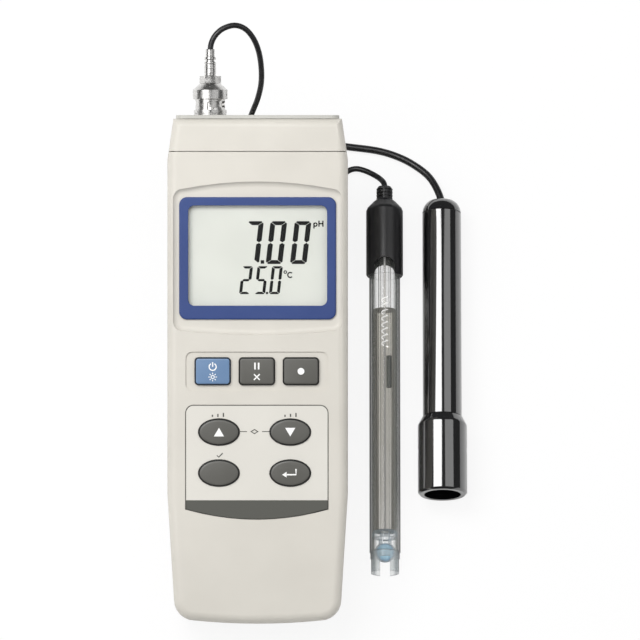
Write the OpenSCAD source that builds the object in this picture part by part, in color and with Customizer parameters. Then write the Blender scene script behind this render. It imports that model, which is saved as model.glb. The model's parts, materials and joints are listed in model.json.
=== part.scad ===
// Portable multiparameter meter on its fold-out stand, with a glass electrode and a
// conductivity probe lying beside it on the bench. Millimetres.
// Case frame: x across, y from the lower end to the socket end, z from back to front.
// Bench frame: z up from the bench, with the case leaning back on its stand.

/* [Case] */
// Length of the case up to the socket panel's face
body_l = 195; // [191:1:200]
// Width across the straight sides
body_w = 69.2; // [68:0.2:73]
// Thickness from the back to the front face
body_t = 30; // [29.8:0.2:33]
// Thickness of the moulded walls
wall = 2.2; // [1.9:0.1:2.5]
// Radius of the rear edges
rear_edge_r = 5.5; // [4.5:0.5:6.5]
// Radius of the front edges
front_edge_r = 3.5; // [2.5:0.5:4.5]
// Length of the head cap with its socket panel
head_l = 14; // [13:0.5:15]

/* [Display] */
// Distance of the window's centre from the socket end
display_drop = 53.9; // [53:0.1:55]
// Width of the bezel
bezel_w = 60.1; // [59.6:0.1:61]
// Height of the bezel
bezel_h = 46.9; // [46.4:0.1:47.6]
// Width of the window
window_w = 53.2; // [51:0.1:53.8]
// Height of the window
window_h = 38.4; // [37:0.1:38.8]
// Depth of the scooped recess round the bezel
scoop_depth = 1.5; // [1.2:0.1:1.8]

/* [Keys] */
// Width of a square key
key_w = 13.6; // [12:0.1:14.4]
// Height of a square key
key_h = 10.4; // [9:0.1:11]
// Spacing of the square keys
key_pitch = 16.9; // [16.5:0.1:17.4]
// Width of an oval key
oval_w = 15.7; // [14:0.1:17]
// Height of an oval key
oval_h = 10.2; // [9:0.1:11]
// Spacing of the oval keys across the case
oval_pitch_x = 27.3; // [25:0.1:28]
// Spacing of the oval keys along the case
oval_pitch_y = 15.7; // [15:0.1:16.5]
// Travel of every key
key_travel = 0.8; // [0.4:0.1:0.8]
// Height of the keys above the front face
key_rise = 1; // [0.9:0.1:1.6]

/* [Stand] */
// Lean of the case on its stand, in degrees
tilt = 15; // [13:1:17]
// Turn of the stand from folded to open, in degrees
stand_open = 100; // [96:1:104]
// Width of the stand
stand_w = 42; // [36:1:44]
// Distance of the stand's hinge from the lower end
hinge_y = 120; // [118:1:122]

/* [Sockets] */
// Offset of the coaxial socket from the case's centre line
coax_x = -18.3; // [-20:0.1:-17]
// Offset of the probe socket from the case's centre line
jack_x = 15; // [13:0.5:18]
// Bore of the probe socket
jack_bore = 3.6; // [3.5:0.1:3.7]

/* [Electrode] */
// Diameter of the glass tube
glass_d = 12; // [11.6:0.1:12.4]
// Diameter of the electrode's cap
cap_d = 14.3; // [14:0.1:15]
// Length of the electrode with its cap
electrode_l = 154.2; // [150:0.1:156]
// Distance of the electrode's axis from the case's centre line
electrode_x = 49; // [48:0.1:50]

/* [Conductivity probe] */
// Diameter of the probe's tube
probe_d = 15; // [14:0.1:15.6]
// Diameter of the probe's head
probe_head_d = 19; // [18:0.1:19.6]
// Length of the probe from its open cup to its domed end
probe_l = 118.8; // [112:0.1:120]
// Distance of the probe's axis from the case's centre line
probe_x = 71.2; // [70:0.1:73]

/* [Leads] */
// Diameter of the electrode's lead
thin_lead_d = 2.2; // [2:0.1:2.4]
// Diameter of the conductivity probe's lead
thick_lead_d = 2.8; // [2.6:0.1:3]

/* [Hidden] */
$fn = 48;

// Clearances: round keys and the stand, seated pieces, and a running pin
key_gap = 0.2;
seat_gap = 0.1;
pin_gap = 0.06;
seam = 0.3;

// Heights in the case frame
parting_h = 14.5;
scoop_floor = body_t - scoop_depth;
inner_face = body_t - wall;
board_t = 1.6;
board_top = body_t - 7.4;
board_floor = board_top - board_t;
key_top = body_t + key_rise;
key_row_depth = 0.6;
label_t = 0.25;

// Places along the case frame
window_y = body_l - display_drop;
bezel_y = window_y - 1.04;
key_row_drop = 19.81;
oval_drop = 31.15;
key_row_y = bezel_y - bezel_h / 2 - key_row_drop;
oval_mid_y = key_row_y - oval_drop;
oval_mid_x = -1.15;
panel_mid_x = -0.3;
head_y = body_l - head_l;
panel_y = body_l - 1.4;
panel_back = panel_y - 2.2;

// Pieces of the display, from the window outwards
lens_lap = 0.9;
skirt_wall = 0.9;
skirt_depth = 1.9;
lens_t = 1.1;
bezel_rise = 1;
skirt_w = window_w + 2 * (lens_lap + skirt_wall);
skirt_h = window_h + 2 * (lens_lap + skirt_wall);

// Battery bay: a nine volt block battery is 48.5 by 26.5 by 17.5
battery_size = [26.5, 48.5, 17.5];
bay_y = [17, 72.5];
bay_half = 14.5;
cover_y = [12.8, 79];
cover_half = 18;
cover_t = 2.2;
bay_floor = 2.6;

// Stand
hinge_h = 2.5;
knuckle_r = 2;
stand_pin_r = 1;
leg_t = 2.4;
rest_drop = rear_edge_r * (sin(tilt) + cos(tilt) - 1);
hinge_up = hinge_y * sin(tilt) + hinge_h * cos(tilt) - rest_drop;
lean = stand_open + tilt - 90;
leg_l = hinge_up / cos(lean);
pocket_y = [hinge_y - leg_l - 1.6, hinge_y + knuckle_r + 0.3];
pocket_half = stand_w / 2 + 1.2;
pocket_depth = hinge_h + knuckle_r + 0.5;

// Sockets: the coaxial pair follows the usual 50 ohm bayonet size
socket_h = 15;
coax_r = 4.8;
lug_y = body_l + 4.3;
rim_y = body_l + 0.9;

// Holder round the display, which the board's upper screws clear
lcd_w = window_w + 0.8;
lcd_h = window_h + 0.8;
holder_rim = 1.7;
holder_half = lcd_h / 2 + holder_rim;

// Board, drawn in from the case's walls, and the screws
board_half = body_w / 2 - wall - 2.4;
board_low = oval_mid_y - 23.65;
board_high = window_y + holder_half + 6.6;
case_screw_x = body_w / 2 - 6;
case_screw_y = [12, body_l - 23];
board_screw_at = [for (at = [
    [board_half - 2, board_low + 4],
    [board_half - 2, window_y - holder_half - 9.3],
    [board_half - 10, window_y + holder_half + 3.2]
]) for (side = [-1, 1]) [side * at.x, at.y]];

// Electrode: distances from its tip
cap_l = 36;
boot_l = 5.3;
guard_l = 10.7;
bulb_r = 4;
inner_tube_r = 2.5;
tube_low = guard_l - 2.5;
tube_seat_l = 12;
tube_seat_r = glass_d / 2 - 0.3;
cap_low = electrode_l - cap_l;
cap_edge = 0.6;
electrode_y = 17.65;
electrode_rise = asin((cap_d - glass_d) / 2 / (cap_low + cap_edge - tube_low));
electrode_h = glass_d / 2 * cos(electrode_rise) - tube_low * sin(electrode_rise);

// Conductivity probe: distances from its open end
head_full_l = 27.5;
shoulder_l = 3.4;
dome_l = 5.4;
probe_y = 47.7;
probe_fall = asin((probe_head_d - probe_d) / 2 / (probe_l - head_full_l - dome_l));
probe_h = probe_head_d / 2 * cos(probe_fall) + head_full_l * sin(probe_fall);

// Origin at the middle of the footprint, without the leads and what hangs on them
front_y = -(body_t - front_edge_r) * sin(tilt) + front_edge_r * (cos(tilt) - 1);
jack_end = (body_l + 10) * cos(tilt) - (socket_h - coax_r) * sin(tilt);
origin_x = (probe_x + probe_head_d / 2 - body_w / 2) / 2;
origin_y = (front_y + jack_end) / 2;

// Routes in the bench frame, chosen by hand to follow the leads seen on the real set
thin_route_a = [
    [-18.3, 208.4, 70.2], [-18.5, 213, 71.5], [-17.2, 218.6, 73], [-13, 222.2, 74],
    [-8.5, 222.6, 73.5], [-4, 221, 71.5], [-0.4, 216.4, 68.5], [1.4, 210, 64.5],
    [1.6, 203.6, 59.5], [0, 198, 54], [-2.6, 193.2, 49], [-4.4, 188.4, 43.5],
    [-4.4, 183, 36.5], [-2.6, 177, 28], [-0.4, 170.6, 19.5], [1.2, 164.6, 12.5],
    [1.8, 159.6, 8.9], [1.8, 156, 8]
];
thin_route_b = [
    [30.3, 156, 1.1], [30.5, 163, 1.1], [30.7, 170, 1.1], [31.6, 175.6, 1.1],
    [34, 179.4, 1.1], [37.4, 180.9, 1.2], [41, 180.1, 1.9], [44.8, 177.9, 3.4],
    [47.6, 175.4, 5.4], [49, 172.6, 7.4], [49, 168, 7.47]
];
thick_route_a = [
    [-13.3, 193.35, 1.4], [-6, 193.3, 1.4], [4, 192.9, 1.4], [15, 192, 1.4], [26, 190.8, 1.4],
    [36, 189.6, 1.4], [45.4, 188.3, 1.5], [52.2, 186.4, 1.7], [59, 183.1, 2.2],
    [65.6, 177.8, 3.6], [69.2, 171.8, 5.8], [71.2, 165.6, 7.4], [71.2, 161, 7.5]
];
thick_route_b = [
    [-31.4, 175.2, 7.2], [-31.5, 169, 6.9], [-31.3, 162, 6.2], [-30.7, 155, 5.4],
    [-29.8, 148.5, 4.7], [-29.1, 143, 4.4], [-29, 138, 4.4]
];
thin_coil_at = [16, 156];
thin_coil_r = 12;
thin_coil_half = 3.4;
thin_coil_h = 9.1;
thick_coil_at = [-13.3, 175.2];
thick_coil_r = 15.25;
thick_coil_half = 4.3;
thick_coil_h = 8.6;
plug_at = [-29, 139, 4.4];

// Placing

module on_bench() {
    translate([-origin_x, -origin_y, 0]) children();
}

// The case leans back until its rear lower edge and its stand touch the bench
module on_stand() {
    on_bench() translate([0, 0, -rest_drop]) rotate([tilt, 0, 0]) children();
}

// A turned piece along the case, from height y
module along_case(x, y) {
    on_stand() translate([x, y, socket_h]) rotate([-90, 0, 0]) children();
}

// The electrode lies on its cap and the low end of its tube
module along_electrode() {
    on_bench() translate([electrode_x, electrode_y, electrode_h])
        rotate([electrode_rise - 90, 0, 0]) children();
}

// The conductivity probe lies on its head and its tube
module along_probe() {
    on_bench() translate([probe_x, probe_y, probe_h])
        rotate([-probe_fall - 90, 0, 0]) children();
}

// Shared shapes

// Rectangle with true round corners
module rounded(w, h, r) {
    square([w - 2 * r, h], center = true);
    square([w, h - 2 * r], center = true);
    for (x = [-1, 1], y = [-1, 1])
        translate([x * (w / 2 - r), y * (h / 2 - r)]) circle(r);
}

module oval(w, h) {
    polygon([for (a = [0 : 7.5 : 359]) [w / 2 * cos(a), h / 2 * sin(a)]]);
}

// Turned tube between two heights
module ring(outer_r, inner_r, z0, z1) {
    translate([0, 0, z0]) difference() {
        cylinder(r = outer_r, h = z1 - z0);
        translate([0, 0, -1]) cylinder(r = inner_r, h = z1 - z0 + 2);
    }
}

// Pan head screw pointing up from z = 0, with a cross recess
module screw(head_r, head_h, shank_r, length) {
    difference() {
        union() {
            cylinder(r = head_r, h = head_h);
            cylinder(r = shank_r, h = length);
        }
        for (turn = [0, 90])
            rotate([0, 0, turn]) translate([-head_r * 0.6, -0.4, -1])
                cube([head_r * 1.2, 0.8, 1 + head_h * 0.6]);
    }
}

// Case

half_w = body_w / 2;
corner_x = half_w - 10.5;

// Right side of the case's outline, from the middle of its crowned lower end upwards
case_side = concat(
    [for (t = [0 : 0.25 : 1]) [corner_x * t, 1.2 * t * t]],
    [for (a = [-75 : 15 : 0]) [corner_x + 8 * cos(a), 9.2 + 8 * sin(a)]],
    [[half_w - 1.6, 24.5], [half_w - 0.8, 36], [half_w, 50], [half_w, head_y - 3],
     [half_w - 0.6, head_y], [half_w - 2.3, panel_y]]
);

// Right side of the scooped recess round the display
scoop_half = half_w - 2;
scoop_side = concat(
    [for (t = [0 : 0.25 : 1]) [(scoop_half - 4) * t, window_y - 30.5 + 1.5 * t * t]],
    [for (a = [-70 : 20 : 10]) [scoop_half - 4 + 4 * cos(a), window_y - 25 + 4 * sin(a)]],
    [for (a = [-10 : 20 : 70]) [scoop_half - 4 + 4 * cos(a), window_y + 21.6 + 4 * sin(a)]],
    [for (t = [1 : -0.25 : 0]) [(scoop_half - 4) * t, window_y + 28.4 - 2.8 * t * t]]
);

// Right side of the key label, whose lower edge is a shallow arc
label_half = 27.4;
label_low = oval_mid_y - 25.65;
label_high = oval_mid_y + 18.25;
label_r = 3;
label_side = concat(
    [for (t = [0 : 0.2 : 1]) [label_half * t, label_low + 3.9 * t * t]],
    [for (a = [0 : 30 : 90])
        [label_half - label_r + label_r * cos(a), label_high - label_r + label_r * sin(a)]]
);

module both_sides(side, inset) {
    left = [for (i = [len(side) - 1 : -1 : 0]) [-side[i].x, side[i].y]];
    offset(delta = -inset) polygon(concat(side, left));
}

module slice(side, inset, z) {
    translate([0, 0, z]) linear_extrude(0.01) both_sides(side, inset);
}

// Whole form of the case, drawn in by an inset
module case_form(inset) {
    rear_r = rear_edge_r - inset;
    front_r = max(front_edge_r - inset, 0.8);
    hull() for (a = [0 : 22.5 : 90]) {
        slice(case_side, inset + rear_r * (1 - sin(a)), inset + rear_r * (1 - cos(a)));
        slice(case_side, inset + front_r * (1 - sin(a)),
            body_t - inset - front_r * (1 - cos(a)) - 0.01);
    }
}

module scoop() {
    hull() for (step = [[-1, 0], [0.02, 0], [0.5, 0.4], [0.85, 1.2], [1, 2.2]])
        slice(scoop_side, step[1], body_t - scoop_depth * step[0]);
}

module slab(y0, y1, z0, z1) {
    translate([-half_w - 5, y0, z0]) cube([body_w + 10, y1 - y0, z1 - z0]);
}

// Band that follows the case's outline, between two insets and two heights
module outline_band(outer, inner, z0, z1) {
    difference() {
        translate([0, 0, z0]) linear_extrude(z1 - z0) difference() {
            both_sides(case_side, outer);
            both_sides(case_side, inner);
        }
        slab(head_y - seam / 2, body_l + 5, 0, body_t);
    }
}

module square_key_outline(grow) {
    rounded(key_w + 2 * grow, key_h + 2 * grow, 1.4 + grow);
}

module oval_key_outline(grow) {
    oval(oval_w + 2 * grow, oval_h + 2 * grow);
}

module at_square_key(column) {
    translate([panel_mid_x + column * key_pitch, key_row_y]) children();
}

module at_oval_key(column, row) {
    translate([oval_mid_x + column * oval_pitch_x / 2, oval_mid_y + row * oval_pitch_y / 2])
        children();
}

module key_holes(grow) {
    for (column = [-1 : 1]) at_square_key(column) square_key_outline(grow);
    for (column = [-1, 1], row = [-1, 1]) at_oval_key(column, row) oval_key_outline(grow);
}

// Inside of the case, with thicker walls left behind the recess and the stand's pocket
module case_cavity() {
    difference() {
        case_form(wall);
        translate([0, 0, scoop_floor - wall]) linear_extrude(wall * 2)
            both_sides(scoop_side, -0.6);
        translate([-pocket_half - 1.8, pocket_y[0] - 1.8, 0])
            cube([2 * pocket_half + 3.6, pocket_y[1] - pocket_y[0] + 3.6, pocket_depth + 1.8]);
        translate([-cover_half - 1.6, cover_y[0] - 1.6, 0])
            cube([2 * cover_half + 3.2, cover_y[1] - cover_y[0] + 3.2, cover_t + 2]);
    }
}

module front_case() {
    color("#d6d2c9") on_stand() difference() {
        union() {
            difference() {
                case_form(0);
                case_cavity();
                scoop();
                slab(-5, body_l + 5, -1, parting_h);
                slab(head_y - seam / 2, body_l + 5, 0, body_t + 1);
            }
            outline_band(wall - 1, wall + 0.3, parting_h - 1.2, parting_h + 0.5);
            for (x = [-1, 1], y = case_screw_y)
                translate([x * case_screw_x, y, parting_h])
                    cylinder(r = 3.2, h = inner_face - parting_h + 0.4);
            for (at = board_screw_at)
                translate([at.x, at.y, board_top])
                    cylinder(r = 2.5, h = inner_face - board_top + 0.3);
        }
        translate([0, window_y, board_top]) linear_extrude(body_t)
            rounded(skirt_w + 2 * seat_gap, skirt_h + 2 * seat_gap, 2.6);
        translate([panel_mid_x, key_row_y, body_t - key_row_depth]) linear_extrude(5)
            rounded(54.6, 14.95, 2.6);
        translate([panel_mid_x, 0, body_t - label_t]) linear_extrude(5)
            both_sides(label_side, -seat_gap);
        translate([0, 0, board_top]) linear_extrude(body_t) key_holes(key_gap);
        for (x = [-1, 1], y = case_screw_y)
            translate([x * case_screw_x, y, parting_h - 1]) cylinder(r = 1.3, h = 9);
        for (at = board_screw_at)
            translate([at.x, at.y, board_top - 1]) cylinder(r = 1, h = 5);
    }
}

module rear_case() {
    bay_l = bay_y[1] - bay_y[0];
    color("#cfcbc2") on_stand() difference() {
        union() {
            difference() {
                case_form(0);
                case_cavity();
                slab(-5, body_l + 5, parting_h, body_t + 1);
                slab(head_y - seam / 2, body_l + 5, -1, body_t);
            }
            translate([-bay_half - 1.4, bay_y[0] - 1.4, cover_t + 1])
                cube([2 * bay_half + 2.8, bay_l + 2.8, board_floor - cover_t - 1.6]);
            for (x = [-1, 1], y = case_screw_y)
                translate([x * case_screw_x, y, 1]) cylinder(r = 3.2, h = parting_h - 1);
        }
        outline_band(wall - 1 - seat_gap, wall + 0.5, parting_h - 1.3, parting_h + 1);
        translate([-bay_half, bay_y[0], -1]) cube([2 * bay_half, bay_l, body_t]);
        translate([-cover_half, cover_y[0], -1])
            cube([2 * cover_half, cover_y[1] - cover_y[0], 1 + cover_t + seat_gap]);
        translate([0, cover_y[1] - 3.2, 0]) cylinder(r = 1, h = 7);
        translate([-pocket_half, pocket_y[0], -1])
            cube([2 * pocket_half, pocket_y[1] - pocket_y[0], 1 + pocket_depth]);
        translate([0, hinge_y, hinge_h]) rotate([0, 90, 0])
            cylinder(r = stand_pin_r, h = 2 * pocket_half + 2.4, center = true);
        for (x = [-1, 1], y = case_screw_y) translate([x * case_screw_x, y, 0]) {
            translate([0, 0, -1]) cylinder(r = 3.1, h = 4);
            cylinder(r = 1.6, h = body_t);
        }
    }
}

module head_cap() {
    tongue_y = head_y - 3;
    color("#d6d2c9") on_stand() difference() {
        union() {
            difference() {
                case_form(0);
                case_form(wall);
                slab(-5, head_y + seam / 2, -1, body_t + 1);
            }
            difference() {
                union() {
                    case_form(wall + seat_gap);
                    intersection() {
                        case_form(wall - 0.4);
                        slab(head_y + seam / 2 + 0.1, body_l, 0, body_t);
                    }
                }
                case_form(wall + 1.3);
                slab(-5, tongue_y, 0, body_t);
                slab(head_y + 2, body_l + 5, 0, body_t);
            }
        }
        translate([0, panel_y + 1, body_t / 2]) rotate([90, 0, 0]) linear_extrude(8)
            rounded(body_w - 12, body_t - 9, 3);
    }
}

module socket_panel() {
    color("#c9c8c2") on_stand() difference() {
        union() {
            translate([0, body_l, body_t / 2]) rotate([90, 0, 0])
                linear_extrude(body_l - panel_y) rounded(body_w - 6.6, body_t - 5, 3.4);
            translate([0, panel_y + 0.2, body_t / 2]) rotate([90, 0, 0])
                linear_extrude(panel_y + 0.2 - panel_back)
                    rounded(body_w - 12 - 2 * seat_gap, body_t - 9 - 2 * seat_gap, 2.9);
        }
        translate([coax_x, body_l + 1, socket_h]) rotate([90, 0, 0]) cylinder(r = 4.9, h = 9);
        translate([jack_x, body_l + 1, socket_h]) rotate([90, 0, 0]) cylinder(r = 4, h = 9);
    }
}

// Display

module display_bezel() {
    color("#344f8c") on_stand() difference() {
        union() {
            hull() for (step = [[0, 0], [bezel_rise - 0.4, 0], [bezel_rise - 0.01, 0.4]])
                translate([0, bezel_y, scoop_floor + step[0]]) linear_extrude(0.01)
                    rounded(bezel_w - 2 * step[1], bezel_h - 2 * step[1], 3 - step[1]);
            translate([0, window_y, scoop_floor - skirt_depth]) linear_extrude(skirt_depth + 0.1)
                rounded(skirt_w, skirt_h, 2.5);
        }
        translate([0, window_y, scoop_floor - 5]) linear_extrude(20)
            rounded(window_w, window_h, 2.4);
        translate([0, window_y, scoop_floor - 5]) linear_extrude(5)
            rounded(window_w + 2 * lens_lap, window_h + 2 * lens_lap, 1.6);
    }
}

module display_lens() {
    lap = 2 * (lens_lap - seat_gap);
    color("#e6e9e6", 0.3) on_stand() translate([0, window_y, scoop_floor - lens_t])
        linear_extrude(lens_t) rounded(window_w + lap, window_h + lap, 1.5);
}

lcd_top = scoop_floor - lens_t - 0.3;
lcd_t = 2.2;

module lcd_glass() {
    color("#d5d7cf") on_stand() translate([-lcd_w / 2, window_y - lcd_h / 2, lcd_top - lcd_t])
        cube([lcd_w, lcd_h, lcd_t]);
}

module lcd_holder() {
    holder_top = scoop_floor - wall - seat_gap;
    color("#e8e8e4") on_stand() translate([0, window_y, board_top]) difference() {
        linear_extrude(holder_top - board_top) difference() {
            square([lcd_w + 2 * holder_rim, 2 * holder_half], center = true);
            square([lcd_w + 0.2, lcd_h + 0.2], center = true);
        }
        for (x = [-1, 1]) translate([x * (lcd_w / 2 + 1), 0, -0.1])
            cube([4, 12, 1.4], center = true);
    }
}

module lcd_connectors() {
    strip_h = lcd_top - lcd_t - board_top;
    color("#8a5a60") on_stand() for (side = [-1, 1])
        translate([0, window_y + side * (lcd_h / 2 - 1), board_top + strip_h / 2])
            cube([lcd_w - 4, 1.6, strip_h], center = true);
}

module backlight_panel() {
    panel_h = lcd_top - lcd_t - board_top - 2 * seat_gap;
    color("#f2f2ea") on_stand()
        translate([0, window_y, board_top + seat_gap + panel_h / 2])
            cube([lcd_w - 3, lcd_h - 4.4, panel_h], center = true);
}

// Keys

dome_top = board_top + 0.5;
mat_floor = dome_top + seat_gap;
mat_top = mat_floor + 1.1;
mat_low = oval_mid_y - 14.15;
mat_high = key_row_y + 7.7;
key_foot = mat_top + seat_gap + key_travel;
flange_top = inner_face - 0.15;

// Mat with a small post over each switch
module keypad_mat() {
    color("#7d8791") on_stand() {
        translate([panel_mid_x, (mat_low + mat_high) / 2, mat_floor + 0.3])
            linear_extrude(mat_top - mat_floor - 0.3)
                rounded(2 * (board_half - 4), mat_high - mat_low, 3);
        translate([0, 0, mat_floor]) {
            for (column = [-1 : 1]) at_square_key(column) cylinder(r = 2, h = 0.6);
            for (column = [-1, 1], row = [-1, 1])
                at_oval_key(column, row) cylinder(r = 2, h = 0.6);
        }
    }
}

module key_label() {
    color("#d9d6ce") on_stand() translate([0, 0, body_t - label_t]) linear_extrude(label_t)
        difference() {
            translate([panel_mid_x, 0]) both_sides(label_side, 0);
            for (column = [-1, 1], row = [-1, 1])
                at_oval_key(column, row) oval_key_outline(key_gap);
        }
}

// Square key with a soft crown and a flange that holds it behind the wall
module square_key(column) {
    on_stand() at_square_key(column) {
        translate([0, 0, key_foot]) linear_extrude(flange_top - key_foot)
            square_key_outline(1.1);
        translate([0, 0, key_foot]) linear_extrude(key_top - key_foot - 0.7)
            square_key_outline(0);
        hull() for (step = [[0.8, 0], [0.35, -0.12], [0.1, -0.4], [0, -0.9]])
            translate([0, 0, key_top - step[0]]) linear_extrude(0.01, $fn = 24)
                square_key_outline(step[1]);
    }
}

module oval_key(column, row) {
    on_stand() at_oval_key(column, row) {
        translate([0, 0, key_foot]) linear_extrude(flange_top - key_foot) oval_key_outline(1.1);
        translate([0, 0, key_foot]) linear_extrude(key_top - key_foot - 0.7)
            oval_key_outline(0);
        hull() for (step = [[0.8, 0], [0.35, -0.15], [0.1, -0.5], [0, -1.2]])
            translate([0, 0, key_top - step[0]]) linear_extrude(0.01)
                oval_key_outline(step[1]);
    }
}

module power_key() { color("#5f7fa3") square_key(-1); }
module hold_key() { color("#55554f") square_key(0); }
module record_key() { color("#55554f") square_key(1); }
module up_key() { color("#4b4b47") oval_key(-1, 1); }
module down_key() { color("#4b4b47") oval_key(1, 1); }
module set_key() { color("#4b4b47") oval_key(-1, -1); }
module enter_key() { color("#4b4b47") oval_key(1, -1); }

// Electronics

module main_board() {
    color("#2f6b45") on_stand() difference() {
        translate([0, 0, board_floor]) linear_extrude(board_t) difference() {
            translate([-board_half, board_low])
                square([2 * board_half, board_high - board_low]);
            for (x = [-1, 1], y = case_screw_y)
                translate([x * board_half, y]) square([9, 12], center = true);
        }
        for (at = board_screw_at)
            translate([at.x, at.y, board_floor - 1]) cylinder(r = 1.2, h = board_t + 2);
    }
}

module dome_switches() {
    color("#c9b36a") on_stand() translate([0, 0, board_top]) {
        for (column = [-1 : 1])
            at_square_key(column) cylinder(r1 = 3, r2 = 1.8, h = dome_top - board_top);
        for (column = [-1, 1], row = [-1, 1])
            at_oval_key(column, row) cylinder(r1 = 3, r2 = 1.8, h = dome_top - board_top);
    }
}

// Parts on the rear of the board: a controller, an amplifier, a crystal and a buzzer
module board_chips() {
    color("#2b2b2d") on_stand() translate([0, 0, board_floor]) mirror([0, 0, 1]) {
        translate([-8, bay_y[1] + 19.5, 0]) cube([16, 16, 1.8]);
        for (rise = [-11.1, 0.9]) translate([-22, window_y + rise, 0]) cube([9, 5, 1.8]);
        translate([14, bay_y[1] + 23.5, 0]) cube([11, 4.6, 3.4]);
        translate([14, window_y - 3.1, 0]) cylinder(r = 6, h = 5);
    }
}

module board_screws() {
    color("#b9bcc0") on_stand() for (at = board_screw_at)
        translate([at.x, at.y, board_floor - 1.3]) screw(2.2, 1.3, 0.98, 6);
}

module battery() {
    color("#3d4347") on_stand()
        translate([0, bay_y[0] + 0.4 + battery_size.y / 2, bay_floor + battery_size.z / 2]) {
            cube(battery_size, center = true);
            for (x = [-6.3, 6.3]) translate([x, battery_size.y / 2, 0]) rotate([-90, 0, 0])
                cylinder(r = 3, h = 2.6);
        }
}

// Snap cap over the battery's two terminals
module battery_snap() {
    cap_y = bay_y[0] + 0.5 + battery_size.y;
    color("#1e1e20") on_stand() difference() {
        translate([-13, cap_y, bay_floor + 3]) cube([26, 5.4, 12]);
        for (x = [-6.3, 6.3])
            translate([x, cap_y - 1, bay_floor + battery_size.z / 2]) rotate([-90, 0, 0])
                cylinder(r = 3.1, h = 3.7);
    }
}

module battery_cover() {
    length = cover_y[1] - cover_y[0] - 2 * seat_gap;
    color("#cfcbc2") on_stand() difference() {
        translate([0, (cover_y[0] + cover_y[1]) / 2, 0]) {
            linear_extrude(cover_t)
                square([2 * (cover_half - seat_gap), length], center = true);
            for (x = [-1, 1]) translate([x * (bay_half - 1.4), -2, cover_t])
                cube([1.6, 30, 0.36], center = true);
        }
        for (rib = [0 : 4]) translate([-9, cover_y[0] + 6 + 2.6 * rib, -1])
            cube([18, 1.1, 1.5]);
        translate([0, cover_y[1] - 3.2, -1]) {
            cylinder(r = 1.2, h = 9);
            cylinder(r = 2.4, h = 2.3);
        }
    }
}

module cover_screw() {
    color("#b9bcc0") on_stand() translate([0, cover_y[1] - 3.2, 0.1])
        screw(2.2, 1.2, 0.98, 6);
}

module case_screws() {
    color("#b9bcc0") on_stand() for (x = [-1, 1], y = case_screw_y)
        translate([x * case_screw_x, y, 1.2]) screw(2.8, 1.8, 1.29, 19);
}

// Stand

// The open stand in its own frame: hinge along x at the origin, the leg along -z
module stand_frame() {
    on_stand() translate([0, hinge_y, hinge_h]) rotate([-tilt + lean, 0, 0]) children();
}

module stand_plan() {
    translate([0, -leg_l / 2]) difference() {
        union() {
            translate([0, -1.5]) rounded(stand_w, leg_l + 3, 4);
            translate([0, leg_l / 4]) square([stand_w, leg_l / 2], center = true);
        }
        translate([0, -1]) rounded(stand_w - 18, leg_l * 0.4, 3);
    }
}

module tilt_stand() {
    color("#c4c1b8") stand_frame() difference() {
        union() {
            translate([0, leg_t / 2, 0]) rotate([90, 0, 0]) linear_extrude(leg_t) stand_plan();
            for (side = [-1, 1]) translate([side * (stand_w / 2 - 4), 0, 0])
                rotate([0, 90, 0]) cylinder(r = knuckle_r, h = 8, center = true);
        }
        rotate([0, 90, 0]) cylinder(r = stand_pin_r + pin_gap, h = stand_w + 2, center = true);
        cube([stand_w - 16 + 0.01, 12, 2 * knuckle_r + 0.2], center = true);
        foot_cut();
    }
}

// Everything below the rubber pads, cut level with the bench when the stand is open
module foot_cut() {
    translate([0, 0, -leg_l]) rotate([-lean, 0, 0]) translate([-40, -40, -39.2])
        cube([80, 80, 40]);
}

module stand_pads() {
    color("#2c2c2c") on_bench()
        for (side = [-1, 1])
            translate([side * (stand_w / 2 - 8), foot_y, 0]) translate([-5, -1.6, 0])
                cube([10, 3.2, 0.8]);
}

foot_y = hinge_y * cos(tilt) - hinge_h * sin(tilt) + hinge_up * tan(lean);

module stand_pin() {
    color("#b9bcc0") on_stand() translate([0, hinge_y, hinge_h]) rotate([0, 90, 0])
        cylinder(r = stand_pin_r, h = 2 * pocket_half + 2, center = true);
}

// Sockets

module coax_jack() {
    color("#c3c5c8") along_case(coax_x, 0) difference() {
        union() {
            translate([0, 0, body_l - 11]) cylinder(r = coax_r, h = 21);
            translate([0, 0, body_l]) cylinder(r = 6.2, h = 0.8);
            translate([0, 0, body_l - 16]) cylinder(r = 3, h = 6);
            translate([0, 0, lug_y]) rotate([0, 90, 0])
                cylinder(r = 1, h = 11, center = true);
        }
        translate([0, 0, body_l + 1.5]) cylinder(r = 4.1, h = 10);
        translate([0, 0, body_l - 17]) cylinder(r = 2.4, h = 30);
    }
}

module coax_nut() {
    color("#c3c5c8") along_case(coax_x, 0) translate([0, 0, panel_back - 2.3]) difference() {
        cylinder(r = 7.3, h = 2.2, $fn = 6);
        translate([0, 0, -1]) cylinder(r = coax_r, h = 5);
    }
}

module coax_insulator() {
    color("#efefe9") along_case(coax_x, 0) ring(2.4, 0.7, body_l - 15.5, body_l + 7);
}

module probe_jack() {
    bottom = body_l - 15;
    color("#1d1d1f") along_case(jack_x, 0) difference() {
        union() {
            translate([0, 0, bottom]) cylinder(r = 3, h = 15 - 0.2);
            translate([0, 0, body_l - 1.4]) cylinder(r = 3.9, h = 1.2);
            translate([-4, -4, bottom]) cube([8, 8, panel_back - bottom]);
        }
        translate([0, 0, bottom + 0.8]) cylinder(r = jack_bore / 2, h = 20);
    }
}

// Plug on the electrode's lead

module coax_plug() {
    color("#c3c5c8") along_case(coax_x, 0) {
        ring(4, 2.6, body_l + 4, body_l + 10.2);
        translate([0, 0, body_l + 10.2]) cylinder(r = 3.32, h = 2.3);
        translate([0, 0, body_l + 12.4]) cylinder(r = 4.15, h = 2.8, $fn = 6);
        translate([0, 0, body_l + 3.5]) cylinder(r = 0.64, h = 8);
    }
}

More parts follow.
